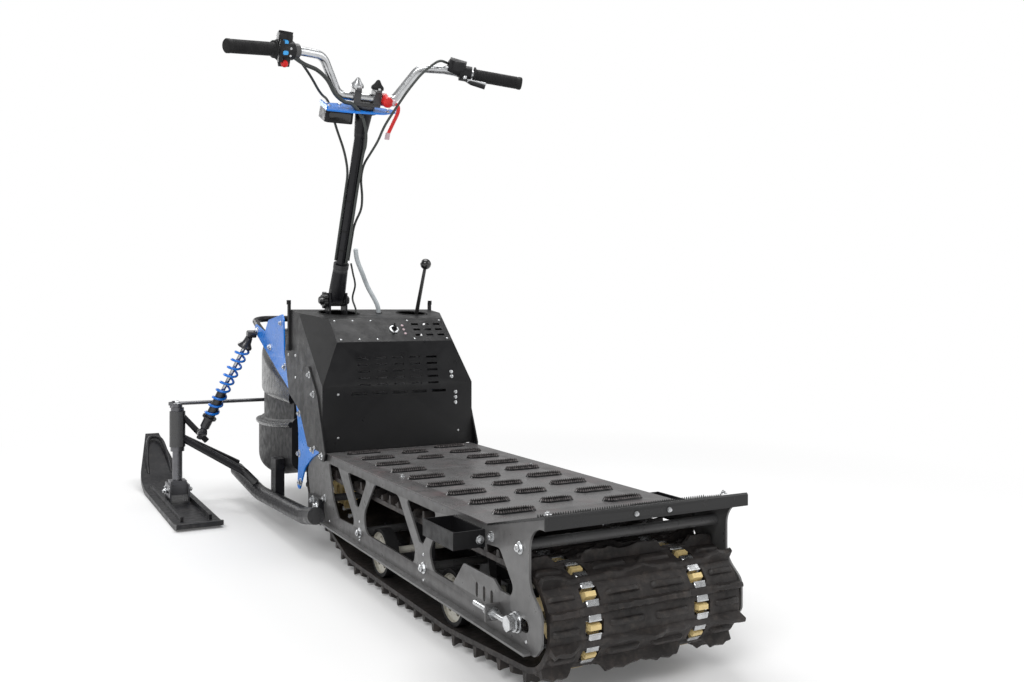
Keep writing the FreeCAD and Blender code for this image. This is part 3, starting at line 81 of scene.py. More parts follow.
def surface(name, colour, roughness, metallic=0.0, tone=0.25, patch=9.0, grain=420.0, bump=0.12,
            wear=None, dust_and_sheen=None, coat=0.0, rough_var=0.12, specular=0.5):
    """A painted, moulded or metal surface.

    tone: how far the colour drifts, patch: size of the drift (per metre), grain and bump: fine texture,
    wear: colour that shows on sharp edges; the blotch pair (colour, share) lays settled dust on most surfaces
    and a painted sheen on the deck sheet.
    """
    mat = bpy.data.materials.new(name)
    mat.use_nodes = True
    nodes, links = mat.node_tree.nodes, mat.node_tree.links
    shader = nodes["Principled BSDF"]
    socket(shader, "Metallic", metallic)
    socket(shader, "Coat Weight", coat)
    socket(shader, "Specular IOR Level", specular)
    socket(shader, "Coat Roughness", 0.12)
    where = nodes.new("ShaderNodeTexCoord").outputs["Object"]

    def noise(scale, detail=4.0, rough=0.55):
        tex = nodes.new("ShaderNodeTexNoise")
        tex.inputs["Scale"].default_value = scale
        tex.inputs["Detail"].default_value = detail
        tex.inputs["Roughness"].default_value = rough
        links.new(where, tex.inputs["Vector"])
        return tex.outputs["Fac"]

    def mixed(factor, first, second):
        mix = nodes.new("ShaderNodeMix")
        mix.data_type = "RGBA"
        for key, value in ((6, first), (7, second)):
            if isinstance(value, tuple):
                mix.inputs[key].default_value = (*value, 1)
            else:
                links.new(value, mix.inputs[key])
        links.new(factor, mix.inputs[0])
        return mix.outputs[2]

    def ranged(value, low, high, out_low, out_high):
        remap = nodes.new("ShaderNodeMapRange")
        for key, number in zip(("From Min", "From Max", "To Min", "To Max"), (low, high, out_low, out_high)):
            remap.inputs[key].default_value = number
        links.new(value, remap.inputs["Value"])
        return remap.outputs["Result"]

    dark = tuple(c * (1 - tone) for c in colour)
    light = tuple(min(1, c * (1 + tone)) for c in colour)
    broad = noise(patch)
    shade = mixed(ranged(broad, 0.35, 0.65, 0, 1), dark, light)
    # blotches of a second colour: settled dust on most surfaces, painted sheen on the deck sheet
    if dust_and_sheen:
        dust_and_sheen_colour, share = dust_and_sheen
        blotch = noise(patch * 4, 8.0, 0.7)
        shade = mixed(ranged(blotch, 0.5, 0.72, 0, share), shade, dust_and_sheen_colour)
    if wear:
        edge = nodes.new("ShaderNodeNewGeometry").outputs["Pointiness"]
        shade = mixed(ranged(edge, 0.53, 0.62, 0, 0.6), shade, wear)
    links.new(shade, shader.inputs["Base Color"])
    fine = noise(grain, 3.0)
    links.new(ranged(noise(patch * 6), 0.3, 0.7, roughness - rough_var, roughness + rough_var),
              shader.inputs["Roughness"])
    raised = nodes.new("ShaderNodeBump")
    raised.inputs["Strength"].default_value = bump
    raised.inputs["Distance"].default_value = 0.0006
    links.new(fine, raised.inputs["Height"])
    links.new(raised.outputs["Normal"], shader.inputs["Normal"])
    return mat


def plain_glass(name):
    """Clear lens with fine ribs."""
    mat = bpy.data.materials.new(name)
    mat.use_nodes = True
    shader = mat.node_tree.nodes["Principled BSDF"]
    socket(shader, "Base Color", (0.93, 0.96, 0.98, 1))
    socket(shader, "Roughness", 0.04)
    socket(shader, "Transmission Weight", 0.95)
    socket(shader, "IOR", 1.45)
    tex = mat.node_tree.nodes.new("ShaderNodeTexWave")
    tex.inputs["Scale"].default_value = 45
    raised = mat.node_tree.nodes.new("ShaderNodeBump")
    raised.inputs["Strength"].default_value = 0.25
    raised.inputs["Distance"].default_value = 0.001
    mat.node_tree.links.new(tex.outputs["Fac"], raised.inputs["Height"])
    mat.node_tree.links.new(raised.outputs["Normal"], shader.inputs["Normal"])
    return mat


SLUSH = (0.16, 0.145, 0.13)
MUD = (0.06, 0.048, 0.04)
BARE = (0.22, 0.22, 0.22)
MATERIALS = {
    "plate_paint": surface("plate_paint", (0.026, 0.0235, 0.0235), 0.38, 0.3, wear=BARE, dust_and_sheen=(SLUSH, 0.16),
                           bump=0.22, grain=700),
    # the deck's reddish blotches are painted sheen, the brown-violet sheen along the deck, not dust
    "deck_sheet": surface("deck_sheet", (0.0125, 0.007, 0.009), 0.3, specular=0.28, tone=0.35, patch=5,
                          wear=BARE, dust_and_sheen=((0.11, 0.034, 0.036), 0.6), bump=0.2, grain=800),
    "black_gloss": surface("black_gloss", (0.006, 0.006, 0.007), 0.2, wear=(0.05, 0.05, 0.05),
                           specular=0.22, bump=0.08),
    "black_plastic": surface("black_plastic", (0.007, 0.007, 0.008), 0.46, specular=0.3, bump=0.14,
                             grain=1500),
    "zinc": surface("zinc", (0.58, 0.59, 0.6), 0.3, 1.0, tone=0.16, patch=60, bump=0.1),
    "track_rubber": surface("track_rubber", (0.017, 0.0135, 0.0125), 0.58, tone=0.4, patch=14, grain=260,
                            bump=0.65, dust_and_sheen=(MUD, 0.75)),
    "sprocket_plastic": surface("sprocket_plastic", (0.78, 0.6, 0.27), 0.45, tone=0.14, patch=40,
                                dust_and_sheen=((0.3, 0.24, 0.15), 0.5)),
    "wheel_plastic": surface("wheel_plastic", (0.62, 0.6, 0.53), 0.5, tone=0.1, patch=30,
                             dust_and_sheen=((0.25, 0.22, 0.18), 0.6)),
    "rail_plastic": surface("rail_plastic", (0.02, 0.02, 0.022), 0.5, bump=0.2),
    "hood_paint": surface("hood_paint", (0.0045, 0.0045, 0.0055), 0.38, specular=0.25, tone=0.3, patch=6,
                          wear=(0.05, 0.05, 0.05), bump=0.35, grain=1100),
    "engine_alloy": surface("engine_alloy", (0.3, 0.3, 0.31), 0.45, 0.9, bump=0.4, grain=300),
    "rubber": surface("rubber", (0.008, 0.008, 0.0085), 0.66, specular=0.3, bump=0.3, grain=600),
    "lever_black": surface("lever_black", (0.012, 0.012, 0.012), 0.2, coat=0.4, bump=0.05),
    "black_steel": surface("black_steel", (0.007, 0.007, 0.009), 0.34, specular=0.3,
                           wear=(0.13, 0.13, 0.13), bump=0.18),
    "bar_alloy": surface("bar_alloy", (0.55, 0.56, 0.57), 0.26, 1.0, tone=0.1, patch=40, bump=0.1),
    "blue_paint": surface("blue_paint", (0.0008, 0.14, 0.62), 0.34, specular=0.35, tone=0.14, coat=0.35,
                          bump=0.25, grain=900, wear=(0.01, 0.24, 0.75)),
    "red_plastic": surface("red_plastic", (0.62, 0.012, 0.012), 0.34, tone=0.12, patch=60, bump=0.08),
    "cable_sheath": surface("cable_sheath", (0.035, 0.04, 0.037), 0.42, bump=0.25, grain=900),
    "hose_plastic": surface("hose_plastic", (0.5, 0.54, 0.56), 0.4, tone=0.12, patch=50, bump=0.2),
    "cowl_plastic": surface("cowl_plastic", (0.009, 0.010, 0.012), 0.27, coat=0.15, specular=0.35,
                            bump=0.05, grain=1500),
    "ski_plastic": surface("ski_plastic", (0.010, 0.010, 0.012), 0.42, specular=0.35,
                           dust_and_sheen=(SLUSH, 0.18), bump=0.2),
    "spindle_steel": surface("spindle_steel", (0.17, 0.17, 0.18), 0.36, 0.9, bump=0.15),
    "shock_body": surface("shock_body", (0.02, 0.02, 0.023), 0.3, coat=0.3),
}
MATERIALS["lamp_glass"] = plain_glass("lamp_glass")
BUTTON_BLUE = surface("button_blue", (0.04, 0.36, 0.8), 0.35, tone=0.1, patch=80)
PALE_PLUG = surface("pale_plug", (0.55, 0.42, 0.45), 0.4, tone=0.15, patch=70)
WORN = surface("worn_edge", (0.1, 0.09, 0.09), 0.35, 0.6, tone=0.5, patch=120)
CHROME = surface("reflector", (0.85, 0.86, 0.88), 0.12, 1.0, tone=0.05, bump=0.03)

for entry in frame["record"]["subparts"]:
    cad = frame["nodes"][entry["node"]]
    cad.data.materials.clear()
    cad.data.materials.append(MATERIALS[entry["material_slot"]])


# ---------------------------------------------------------------- mesh tools

class Mesh:
    """Collects vertices and faces of one piece."""

    def __init__(self):
        self.points, self.faces = [], []

    def add(self, points, faces):
        """Adds faces that count from the first of these points."""
        start = len(self.points)
        self.points += [tuple(p) for p in points]
        self.faces += [tuple(i + start for i in f) for f in faces]

    def rings(self, rings, capped=True, closed_loop=False):
        """Joins rings of equal point count."""
        count = len(rings[0])
        points = [p for ring in rings for p in ring]
        faces = []
        pairs = len(rings) if closed_loop else len(rings) - 1
        for k in range(pairs):
            a, b = k * count, (k + 1) % len(rings) * count
            faces += [(a + i, a + (i + 1) % count, b + (i + 1) % count, b + i) for i in range(count)]
        if capped and not closed_loop:
            faces.append(tuple(reversed(range(count))))
            last = (len(rings) - 1) * count
            faces.append(tuple(range(last, last + count)))
        self.add(points, faces)

    def lathe(self, profile, start, along, sides=32, turn=0.0):
        """Revolves (distance along, radius) pairs about an axis."""
        side, up = cross_axes(along)
        rings = []
        for distance, radius in profile:
            centre = Vector(start) + along * distance
            rings.append([centre + (side * math.cos(a) + up * math.sin(a)) * radius
                          for a in [turn + 2 * math.pi * i / sides for i in range(sides)]])
        self.rings(rings)

    def tube(self, path, radius, sides=12, radii=None):
        """A round tube through points, with steady frames."""
        path = [Vector(p) for p in path]
        last = len(path) - 1
        tangents = [(path[min(i + 1, last)] - path[max(i - 1, 0)]).normalized() for i in range(last + 1)]
        side = cross_axes(tangents[0])[0]
        rings = []
        for i, (point, tangent) in enumerate(zip(path, tangents)):
            side = (side - tangent * side.dot(tangent)).normalized()
            up = tangent.cross(side)
            r = radii[i] if radii else radius
            rings.append([point + (side * math.cos(a) + up * math.sin(a)) * r
                          for a in [2 * math.pi * k / sides for k in range(sides)]])
        self.rings(rings)

    def block(self, centre, axes, sizes, taper=1.0, chamfer=0.0):
        """A box with its own axes; its far face is scaled by taper and its upright edges are chamfered."""
        a, b, c = axes
        half = [s / 2 for s in sizes]
        cut = min(chamfer, half[0] * 0.9, half[1] * 0.9)
        outline = [(-half[0] + cut, -half[1]), (half[0] - cut, -half[1]), (half[0], -half[1] + cut),
                   (half[0], half[1] - cut), (half[0] - cut, half[1]), (-half[0] + cut, half[1]),
                   (-half[0], half[1] - cut), (-half[0], -half[1] + cut)]
        rings = []
        shoulder = 1 - 2 * min(cut / sizes[2], 0.3)
        for share, scale in ((-1, 1.0), (shoulder, 0.5 + taper / 2), (1, taper * 0.93)):
            rings.append([Vector(centre) + a * u * scale + b * v * scale + c * half[2] * share
                          for u, v in outline])
        self.rings(rings)

    def piece(self, name, material, body, slot=None, replaces=(), smooth=35):
        """Makes the object, rides it on its body and returns it."""
        data = bpy.data.meshes.new(name)
        data.from_pydata(self.points, [], self.faces)
        data.validate()
        shade_faces(data, smooth)
        obj = bpy.data.objects.new(name, data)
        bpy.context.scene.collection.objects.link(obj)
        data.materials.append(MATERIALS[material] if isinstance(material, str) else material)
        if body:
            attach(obj, body)
        if replaces:
            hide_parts(*replaces)
        return obj


def shade_faces(data, angle):
    """Turns faces outward and shades them smooth except over sharp edges."""
    work = bmesh.new()
    work.from_mesh(data)
    bmesh.ops.recalc_face_normals(work, faces=work.faces)
    work.to_mesh(data)
    work.free()
    data.shade_smooth()
    data.set_sharp_from_angle(angle=math.radians(angle))


def cross_axes(along):
    """Two unit vectors square to an axis."""
    along = Vector(along).normalized()
    helper = X if abs(along.x) < 0.8 else Y
    side = along.cross(helper).normalized()
    return side, along.cross(side)


def spline(a, b, c, d, t):
    """The value at share t between b and c, on a smooth curve through all four."""
    return 0.5 * ((2 * b) + (c - a) * t + (2 * a - 5 * b + 4 * c - d) * t ** 2
                  + (3 * b - a - 3 * c + d) * t ** 3)


def curve_through(points, steps=10):
    """A smooth line through points."""
    points = [Vector(p) for p in points]
    line = []
    for i in range(len(points) - 1):
        before, after = points[max(i - 1, 0)], points[min(i + 2, len(points) - 1)]
        line += [spline(before, points[i], points[i + 1], after, k / steps) for k in range(steps)]
    return line + [points[-1]]


def hex_bolt(mesh, point, out, radius=0.0065, washer=1.5):
    """A hexagon head on a washer, with a domed top, standing on a face."""
    base, radius = Vector(point), radius * 0.86
    turn = draw.uniform(0, 1)
    mesh.lathe([(-0.0004, radius * washer), (0.0012, radius * washer), (0.0016, radius * washer * 0.96)],
               base, out, 24)
    high = radius * 0.95
    mesh.lathe([(0.0012, radius), (0.001 + high * 0.85, radius), (0.001 + high, radius * 0.84)],
               base, out, 6, turn)
    mesh.lathe([(0.001 + high, radius * 0.4), (0.003 + high, radius * 0.38)], base, out, 16)


def rivet(mesh, point, out, radius=0.004):
    """A low domed head."""
    profile = [(-0.0004, radius), (radius * 0.3, radius * 0.86), (radius * 0.5, radius * 0.45)]
    mesh.lathe(profile, point, out, 14)


# ---------------------------------------------------------------- footboard teeth

# millimetres
SLOT_FIRST, SLOT_PITCH, SLOT_WIDE = 252, 98, 24
# metres, outward and upward steps of the raised lip round a slot
LIP_SECTION = ((0.0042, -0.0003), (0.0024, 0.0016), (0.0004, 0.0042), (-0.0004, 0.0040), (-0.0002, -0.0036))
DECK_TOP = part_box("footboard")[1].z
PLATE_X = 0.202          # outer faces of the side plates, without their lips
SHEET_RUN = 192          # length of the rising rear sheet, in millimetres


def slot_edge(length, width, spacing):
    """Points and outward directions round a slot with round ends, centred on zero, along X."""
    straight, r = length - width, width / 2
    total = 2 * straight + 2 * math.pi * r
    for i in range(int(total / spacing)):
        s = i * total / int(total / spacing)
        if s < straight:
            yield Vector((s - straight / 2, -r, 0)), Vector((0, -1, 0))
        elif s < straight + math.pi * r:
            a = (s - straight) / r - math.pi / 2
            out = Vector((math.cos(a), math.sin(a), 0))
            yield X * (straight / 2) + out * r, out
        elif s < 2 * straight + math.pi * r:
            yield Vector((straight / 2 - (s - straight - math.pi * r), r, 0)), Vector((0, 1, 0))
        else:
            a = (s - 2 * straight - math.pi * r) / r + math.pi / 2
            out = Vector((math.cos(a), math.sin(a), 0))
            yield X * (-straight / 2) + out * r, out


def tooth(mesh, foot, out, up, wide=0.0034, high=0.0026):
    """A bent-up triangular tooth at a slot's edge."""
    side = out.cross(up).normalized() * wide / 2
    inner, outer = foot - out * 0.0012, foot + out * 0.0022
    apex = foot + up * high - out * 0.0008
    base = [inner - side, inner + side, outer + side, outer - side]
    mesh.add([p - up * 0.0006 for p in base] + [apex - side * 0.3, apex + side * 0.3],
             [(0, 1, 2, 3), (0, 4, 5, 1), (1, 5, 2), (2, 5, 4, 3), (3, 4, 0)])


def deck_teeth():
    """Raised lips with bright-worn teeth round the footboard's slots."""
    mesh, lips = Mesh(), Mesh()
    rows = []
    for i in range(9):
        station = SLOT_FIRST + i * SLOT_PITCH
        rows += [(-118, station, 80), (118, station, 80)]
    rows += [(0, SLOT_FIRST + (i + 0.5) * SLOT_PITCH, 64) for i in (0, 1, 2, 3, 6, 7)]
    for x, station, length in rows:
        centre = place(x, station, DECK_TOP / MM)
        edge = list(slot_edge(length * MM, SLOT_WIDE * MM, 0.0024))
        lips.rings([[centre + point + out * side + Z * rise for point, out in edge]
                    for side, rise in LIP_SECTION], capped=False)
        for point, out in slot_edge(length * MM, SLOT_WIDE * MM, 0.0047):
            tooth(mesh, centre + point + Z * 0.0036, out, Z, high=0.0034)
    lips.piece("footboard_lips", "black_gloss", "frame", smooth=50)
    mesh.piece("footboard_teeth", WORN, "frame", slot="deck_sheet", smooth=20)


def kick_teeth():
    """Teeth round the openings of the rising rear sheet, and along its front edge."""
    mesh = Mesh()
    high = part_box("kick_bar")[1]
    slope = math.atan2(high.z - DECK_TOP, SHEET_RUN * MM)
    along = Vector((0, math.cos(slope), -math.sin(slope)))
    up = Vector((0, math.sin(slope), math.cos(slope)))

    def on_sheet(x, station):
        share = station / SHEET_RUN
        return Vector((x * MM, at(station), high.z + (DECK_TOP - high.z) * share - 0.0004))

    half_opening = 11.5
    for x0 in (-92, 92):
        for station, length in ((40, 150), (118, 80)):
            steps = int(length / 4.6)
            for i in range(steps + 1):
                x = x0 - length / 2 + length * i / steps
                tooth(mesh, on_sheet(x, station - half_opening), -along, up, high=0.004)
                tooth(mesh, on_sheet(x, station + half_opening), along, up, high=0.004)
    for i in range(72):
        tooth(mesh, on_sheet(-170 + 4.8 * i, 78), along, up, high=0.0058)
    mesh.piece("kick_teeth", "black_gloss", "frame", smooth=20)


# ---------------------------------------------------------------- fasteners

def plate_bolts():
    """Bolts on the side plates, beams, brackets and box, on both sides."""
    big, small = Mesh(), Mesh()
    pad, bracket, strap, hood = PLATE_X + 0.0143, PLATE_X + 0.0043, PLATE_X + 0.0113, PLATE_X + 0.007
    heads = [(PLATE_X, 831, 117, 9), (PLATE_X, 466, 124, 9), (PLATE_X, 80, 248, 8), (PLATE_X, 1090, 150, 8),
             (PLATE_X, 177, 246, 7), (pad, 1144, 138, 9), (pad, 1112, 128, 9),
             (bracket, 1290, 160, 8), (bracket, 1300, 236, 8), (bracket, 1177, 262, 8),
             (bracket, 1148, 272, 7), (bracket, 1300, 344, 7), (bracket, 1445, 462, 8),
             (bracket, 1608, 513, 8), (bracket, 1490, 586, 6), (bracket, 1764, 560, 8)]
    for x, station, z, r in heads:
        for side in (LEFT, RIGHT):
            hex_bolt(big, place(side * x / MM, station, z), X * side, r * MM)
    for station, z in ((1080, 258), (1150, 408), (1186, 456)):
        for side in (LEFT, RIGHT):
            hex_bolt(big, place(side * strap / MM, station, z), X * side, 0.0072)
    for station, z in ((833, 142), (833, 100), (466, 150), (466, 100), (1052, 100), (130, 104), (60, 104)):
        for side in (LEFT, RIGHT):
            rivet(small, place(side * PLATE_X / MM, station, z), X * side, 0.0034)
    for station, z in ((1104, 300), (1104, 340), (1330, 500), (1400, 500), (1330, 440)):
        for side in (LEFT, RIGHT):
            rivet(small, place(side * hood / MM, station, z), X * side, 0.0042)
    for x in (-178, 178):
        hex_bolt(big, place(x, 34, 306.2), Vector((0, 0.24, 1)).normalized(), 0.005)
        hex_bolt(big, place(math.copysign(212, x), 202, 236), -Y, 0.006)
    for x in (-33, 33):
        hex_bolt(big, place(x, 0, 300), -Y, 0.0042, 1.2)
    hex_bolt(small, place(-160, 677, 265), Z, 0.0045)
    hex_bolt(small, place(160, 677, 265), Z, 0.0045)
    # rear sheet and control band of the box
    rear_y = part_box("hood_rear")[0].y
    for z in (376, 390, 404):
        rivet(small, Vector((0.160, rear_y, z * MM)), -Y, 0.0056)
    for z in (446, 458):
        station = 1088 + (z - 430) * 24 / 112
        rivet(small, place(0.150 / MM, station, z), Vector((0, -1, 0.21)).normalized(), 0.0056)
    for x, z in ((-168, 300), (168, 300), (-168, 410)):
        rivet(small, Vector((x * MM, rear_y, z * MM)), -Y, 0.0034)
    big.piece("plate_bolts", "zinc", "frame")
    small.piece("panel_screws", "zinc", "frame")


def control_band():
    """Key switch, warning lamps and screws on the sloping band of the box."""
    low, high = Vector((0, at(1112), 0.542)), Vector((0, at(1180), 0.602))
    up = (high - low).normalized()
    out = X.cross(up).normalized()
    if out.y > 0:
        out = -out
    middle = (low + high) / 2
    ring, key, lamp, screws = Mesh(), Mesh(), Mesh(), Mesh()
    centre = middle + X * 0.006
    ring.lathe([(-0.004, 0.0135), (0.002, 0.0138), (0.004, 0.0125), (0.0042, 0.009), (0.001, 0.0085)],
               centre, out, 28)
    key.block(centre + out * 0.010, (up, X, out), (0.016, 0.003, 0.018), 1.1, 0.001)
    key.lathe([(0.0, 0.0075), (0.003, 0.007)], centre, out, 20)
    lamp_pitch = 0.016
    for step in (-1, 0, 1):
        spot = middle + X * 0.034 + up * (lamp_pitch * step)
        lamp.lathe([(-0.001, 0.0036), (0.0012, 0.0034), (0.002, 0.0018)], spot, out, 16)
    for x in (-0.15, -0.1, -0.05, 0.055, 0.15):
        for share in (-0.4, 0.4):
            rivet(screws, middle + X * x + up * (0.09 * share), out, 0.0032)
    ring.piece("key_switch_ring", "zinc", "frame")
    key.piece("key_switch", "black_plastic", "frame")
    lamp.piece("warning_lamps", PALE_PLUG, "frame", slot="red_plastic")
    screws.piece("band_screws", "zinc", "frame")


def hood_trim():
    """Rubber edging round the three openings of the box's top sheet."""
    trim = Mesh()
    sheet_station, sheet_z, pitch = 1180, 602, 0.12
    thick = 0.0022
    slope = Vector((0, 1, pitch)).normalized()
    rise = X.cross(slope)
    for x, station, r in ((-98, 1294, 56), (116, 1288, 44), (20.2, 1296.1, 7.2)):
        centre = place(x, station, sheet_z + (station - sheet_station) * pitch)
        ring = [centre + (X * math.cos(a) + slope * math.sin(a)) * (r * MM) for a in
                [2 * math.pi * k / 48 for k in range(48)]]
        rings = []
        for point in ring:
            out = (point - centre).normalized()
            rings.append([point + (out * math.cos(b) + rise * math.sin(b)) * thick for b in
                          [2 * math.pi * k / 8 for k in range(8)]])
        trim.rings(rings, closed_loop=True)
    trim.piece("hood_edging", "rubber", "frame")


# ---------------------------------------------------------------- track

# radius of the belt's inside on a sprocket, thickness of the belt, height of a bar
WRAP, BELT, LUG = 0.072, 0.010, 0.022
TEETH = 10
HALF_TRACK = 0.190
WINDOW_X, WINDOW_WIDE, WINDOW_LONG = 0.108, 0.034, 0.021
CLIP_WIDE = 0.024
# forward, height and radius of the circles that shape the belt's inside;
# the last one lies outside the belt, so its radius is negative
CIRCLES = [(0.088, 0.128, WRAP), (0.383, 0.085, 0.053), (0.925, 0.182, 0.150), (1.208, 0.180, WRAP),
           (1.030, 0.350, -0.150)]


class Loop:
    """The inside line of the track: arcs and straight runs round the circles."""

    def __init__(self):
        tangents = []
        for i, (u1, z1, r1) in enumerate(CIRCLES):
            u2, z2, r2 = CIRCLES[(i + 1) % len(CIRCLES)]
            heading = math.atan2(z2 - z1, u2 - u1) + math.asin((r1 - r2) / math.hypot(u2 - u1, z2 - z1))
            right = Vector((math.sin(heading), -math.cos(heading)))
            tangents.append((Vector((u1, z1)) + right * r1, Vector((u2, z2)) + right * r2, heading))
        self.spans = []
        for i, (u, z, r) in enumerate(CIRCLES):
            start, end = tangents[i - 1][1], tangents[i][0]
            first = math.atan2(start.y - z, start.x - u)
            last = math.atan2(end.y - z, end.x - u)
            sweep = (last - first) % (2 * math.pi) if r > 0 else -((first - last) % (2 * math.pi))
            self.spans.append((abs(sweep * r), "arc", (u, z, abs(r), first, sweep)))
            self.spans.append(((tangents[i][1] - tangents[i][0]).length, "run", tangents[i]))
        self.length = sum(s[0] for s in self.spans)
        self.count = round(self.length / (2 * math.pi * WRAP / TEETH))
        self.step = self.length / self.count

    def point(self, distance):
        """(point, forward, outward) in 3-D, on the middle plane."""
        distance %= self.length
        for length, kind, facts in self.spans:
            if distance <= length:
                break
            distance -= length
        share = distance / length
        if kind == "run":
            (start, end, heading) = facts
            spot = start + (end - start) * share
        else:
            u, z, r, first, sweep = facts
            angle = first + sweep * share
            spot = Vector((u + r * math.cos(angle), z + r * math.sin(angle)))
            heading = angle + math.copysign(math.pi / 2, sweep)
        forward = Vector((0, math.cos(heading), math.sin(heading)))
        outward = Vector((0, math.sin(heading), -math.cos(heading)))
        return Vector((0, REAR + spot.x, spot.y)), forward, outward


def mirrored(half):
    """A bar's outline from its right half, which starts at the middle."""
    return [(-x, share) for x, share in reversed(half[1:])] + half


def ragged(shape):
    """More points along a bar's outline, with torn-looking heights."""
    line = []
    for (x0, s0), (x1, s1) in zip(shape, shape[1:]):
        count = max(2, int((x1 - x0) / 8))
        for k in range(count):
            share = s0 + (s1 - s0) * k / count
            line.append((x0 + (x1 - x0) * k / count, share * draw.uniform(0.8, 1.0)))
    return line + [shape[-1]]


def track():
    """Belt with windows, torn-looking bars, low ribs and steel clips, in place of the plain belt."""
    loop = Loop()
    carcass, lugs, clips = Mesh(), Mesh(), Mesh()
    win_low, win_high = WINDOW_X - WINDOW_WIDE / 2, WINDOW_X + WINDOW_WIDE / 2
    columns = [-HALF_TRACK, -win_high, -win_low, -0.03, 0.03, win_low, win_high, HALF_TRACK]
    offsets = []
    for i in range(loop.count):
        middle = (i + 0.5) * loop.step
        offsets += [i * loop.step, middle - WINDOW_LONG / 2, middle + WINDOW_LONG / 2]
    grid = []
    for s in offsets:
        spot, _, out = loop.point(s)
        grid.append([[spot + X * x + out * o for o in (0.0, BELT)] for x in columns])
    rows, wide = len(grid), len(columns)
    points = [p for row in grid for cell in row for p in cell]

    def index(r, c, layer):
        return ((r % rows) * wide + c) * 2 + layer

    faces = []
    for r in range(rows):
        is_window_row = r % 3 == 1
        for c in range(wide - 1):
            hole = is_window_row and c in (1, 5)
            if not hole:
                for layer in (0, 1):
                    faces.append((index(r, c, layer), index(r, c + 1, layer),
                                  index(r + 1, c + 1, layer), index(r + 1, c, layer)))
            else:
                ring = [(r, c), (r, c + 1), (r + 1, c + 1), (r + 1, c)]
                for (ra, ca), (rb, cb) in zip(ring, ring[1:] + ring[:1]):
                    faces.append((index(ra, ca, 0), index(rb, cb, 0), index(rb, cb, 1), index(ra, ca, 1)))
        for c in (0, wide - 1):
            faces.append((index(r, c, 0), index(r + 1, c, 0), index(r + 1, c, 1), index(r, c, 1)))
    carcass.add(points, faces)

    # cross bars with stepped, slightly ragged tops; even and odd bars differ
    shapes = [
        mirrored([(0, 0.72), (30, 1.0), (72, 0.94), (84, 0.2), (134, 0.24), (146, 0.96), (172, 1.0),
                  (190, 0.62)]),
        mirrored([(0, 0.94), (38, 0.42), (66, 0.5), (82, 0.22), (134, 0.26), (146, 0.66), (160, 1.0),
                  (190, 0.95)]),
    ]
    for i in range(loop.count):
        spot, forward, out = loop.point(i * loop.step)
        rings = []
        for x, share in ragged(shapes[i % 2]):
            high = BELT + LUG * share * draw.uniform(0.9, 1.0)
            root = 0.0075 * draw.uniform(0.9, 1.08)
            top = 0.0042 * draw.uniform(0.8, 1.1)
            lean = draw.uniform(-0.0008, 0.0008)
            side = X * (x * MM)
            rings.append([spot + side + forward * a + out * o for a, o in
                          ((-root, BELT - 0.001), (-root * 0.8, BELT + 0.003), (-top + lean, high - 0.001),
                           (lean, high), (top + lean, high - 0.001), (root * 0.8, BELT + 0.003),
                           (root, BELT - 0.001))])
        lugs.rings(rings)
        # low ribs between the bars, clear of the windows
        for x0, x1 in ((-0.186, -0.136), (-0.078, -0.012), (0.012, 0.078), (0.136, 0.186)):
            middle, ahead, up = loop.point((i + 0.5) * loop.step + draw.uniform(-0.002, 0.002))
            centre = middle + X * ((x0 + x1) / 2) + up * (BELT + 0.0022)
            lugs.block(centre, (X, ahead, up), (x1 - x0, 0.011 * draw.uniform(0.8, 1.2), 0.006), 0.8, 0.002)
        # steel clips that hook over the carcass at each window's front and rear edge
        for side in (LEFT, RIGHT):
            for end in (-1, 1):
                edge = (i + 0.5) * loop.step + end * WINDOW_LONG / 2
                spot, ahead, up = loop.point(edge - end * 0.0012)
                clips.block(spot + X * (side * WINDOW_X) + up * (BELT * 0.5), (X, up, ahead),
                            (CLIP_WIDE, BELT + 0.004, 0.0024))
                spot, ahead, up = loop.point(edge + end * 0.0032)
                clips.block(spot + X * (side * WINDOW_X) + up * (BELT + 0.0010), (X, ahead, up),
                            (CLIP_WIDE, 0.0092, 0.0030), 0.94, 0.0014)
    carcass.piece("track_carcass", "track_rubber", "frame", replaces=["track_belt"], smooth=40)
    lugs.piece("track_lugs", "track_rubber", "frame", smooth=50)
    clips.piece("track_clips", "zinc", "frame")


def dark_shafts():
    """The shafts that cross the frame are black between the side plates."""
    cad = frame["nodes"]["cross_shafts"]
    cad.data.materials.append(MATERIALS["black_steel"])
    for face in cad.data.polygons:
        inside = max(abs(cad.data.vertices[i].co.x) for i in face.vertices) < PLATE_X + 0.0005
        face.material_index = 1 if inside else 0


def wheel_tyres():
    """Gives the rims of the road wheels a rubber material."""
    for name in ("rear_road_wheels", "front_road_wheels"):
        cad = frame["nodes"][name]
        low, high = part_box(name)
        y, z = (low.y + high.y) / 2, (low.z + high.z) / 2
        radius = (high.z - low.z) / 2
        cad.data.materials.append(MATERIALS["rubber"])
        for face in cad.data.polygons:
            reach = math.hypot(face.center.y - y, face.center.z - z)
            face.material_index = 1 if reach > radius * 0.86 else 0


# ---------------------------------------------------------------- mast and handlebar

PIN = place(-98, 1318, 652)       # the mast folds about this point
LEAN = math.radians(25)
UP = Vector((0, -math.sin(LEAN), math.cos(LEAN)))
BACK = Vector((0, -math.cos(LEAN), -math.sin(LEAN)))
# millimetres: from the pin to the clamps, the bar's half width, rise and sweep, its bends, a grip
MAST = 570
BAR_HALF, BAR_RISE, BAR_SWEEP = 378, 101, 100
BEND_X, BEND_BACK = 188, 32
GRIP = 128


def on_mast(x, along, back=0.0):
    """A point from millimetres across, up along the mast from the pin, and square to the rear."""
    return PIN + X * (x * MM) + UP * (along * MM) + BACK * (back * MM)


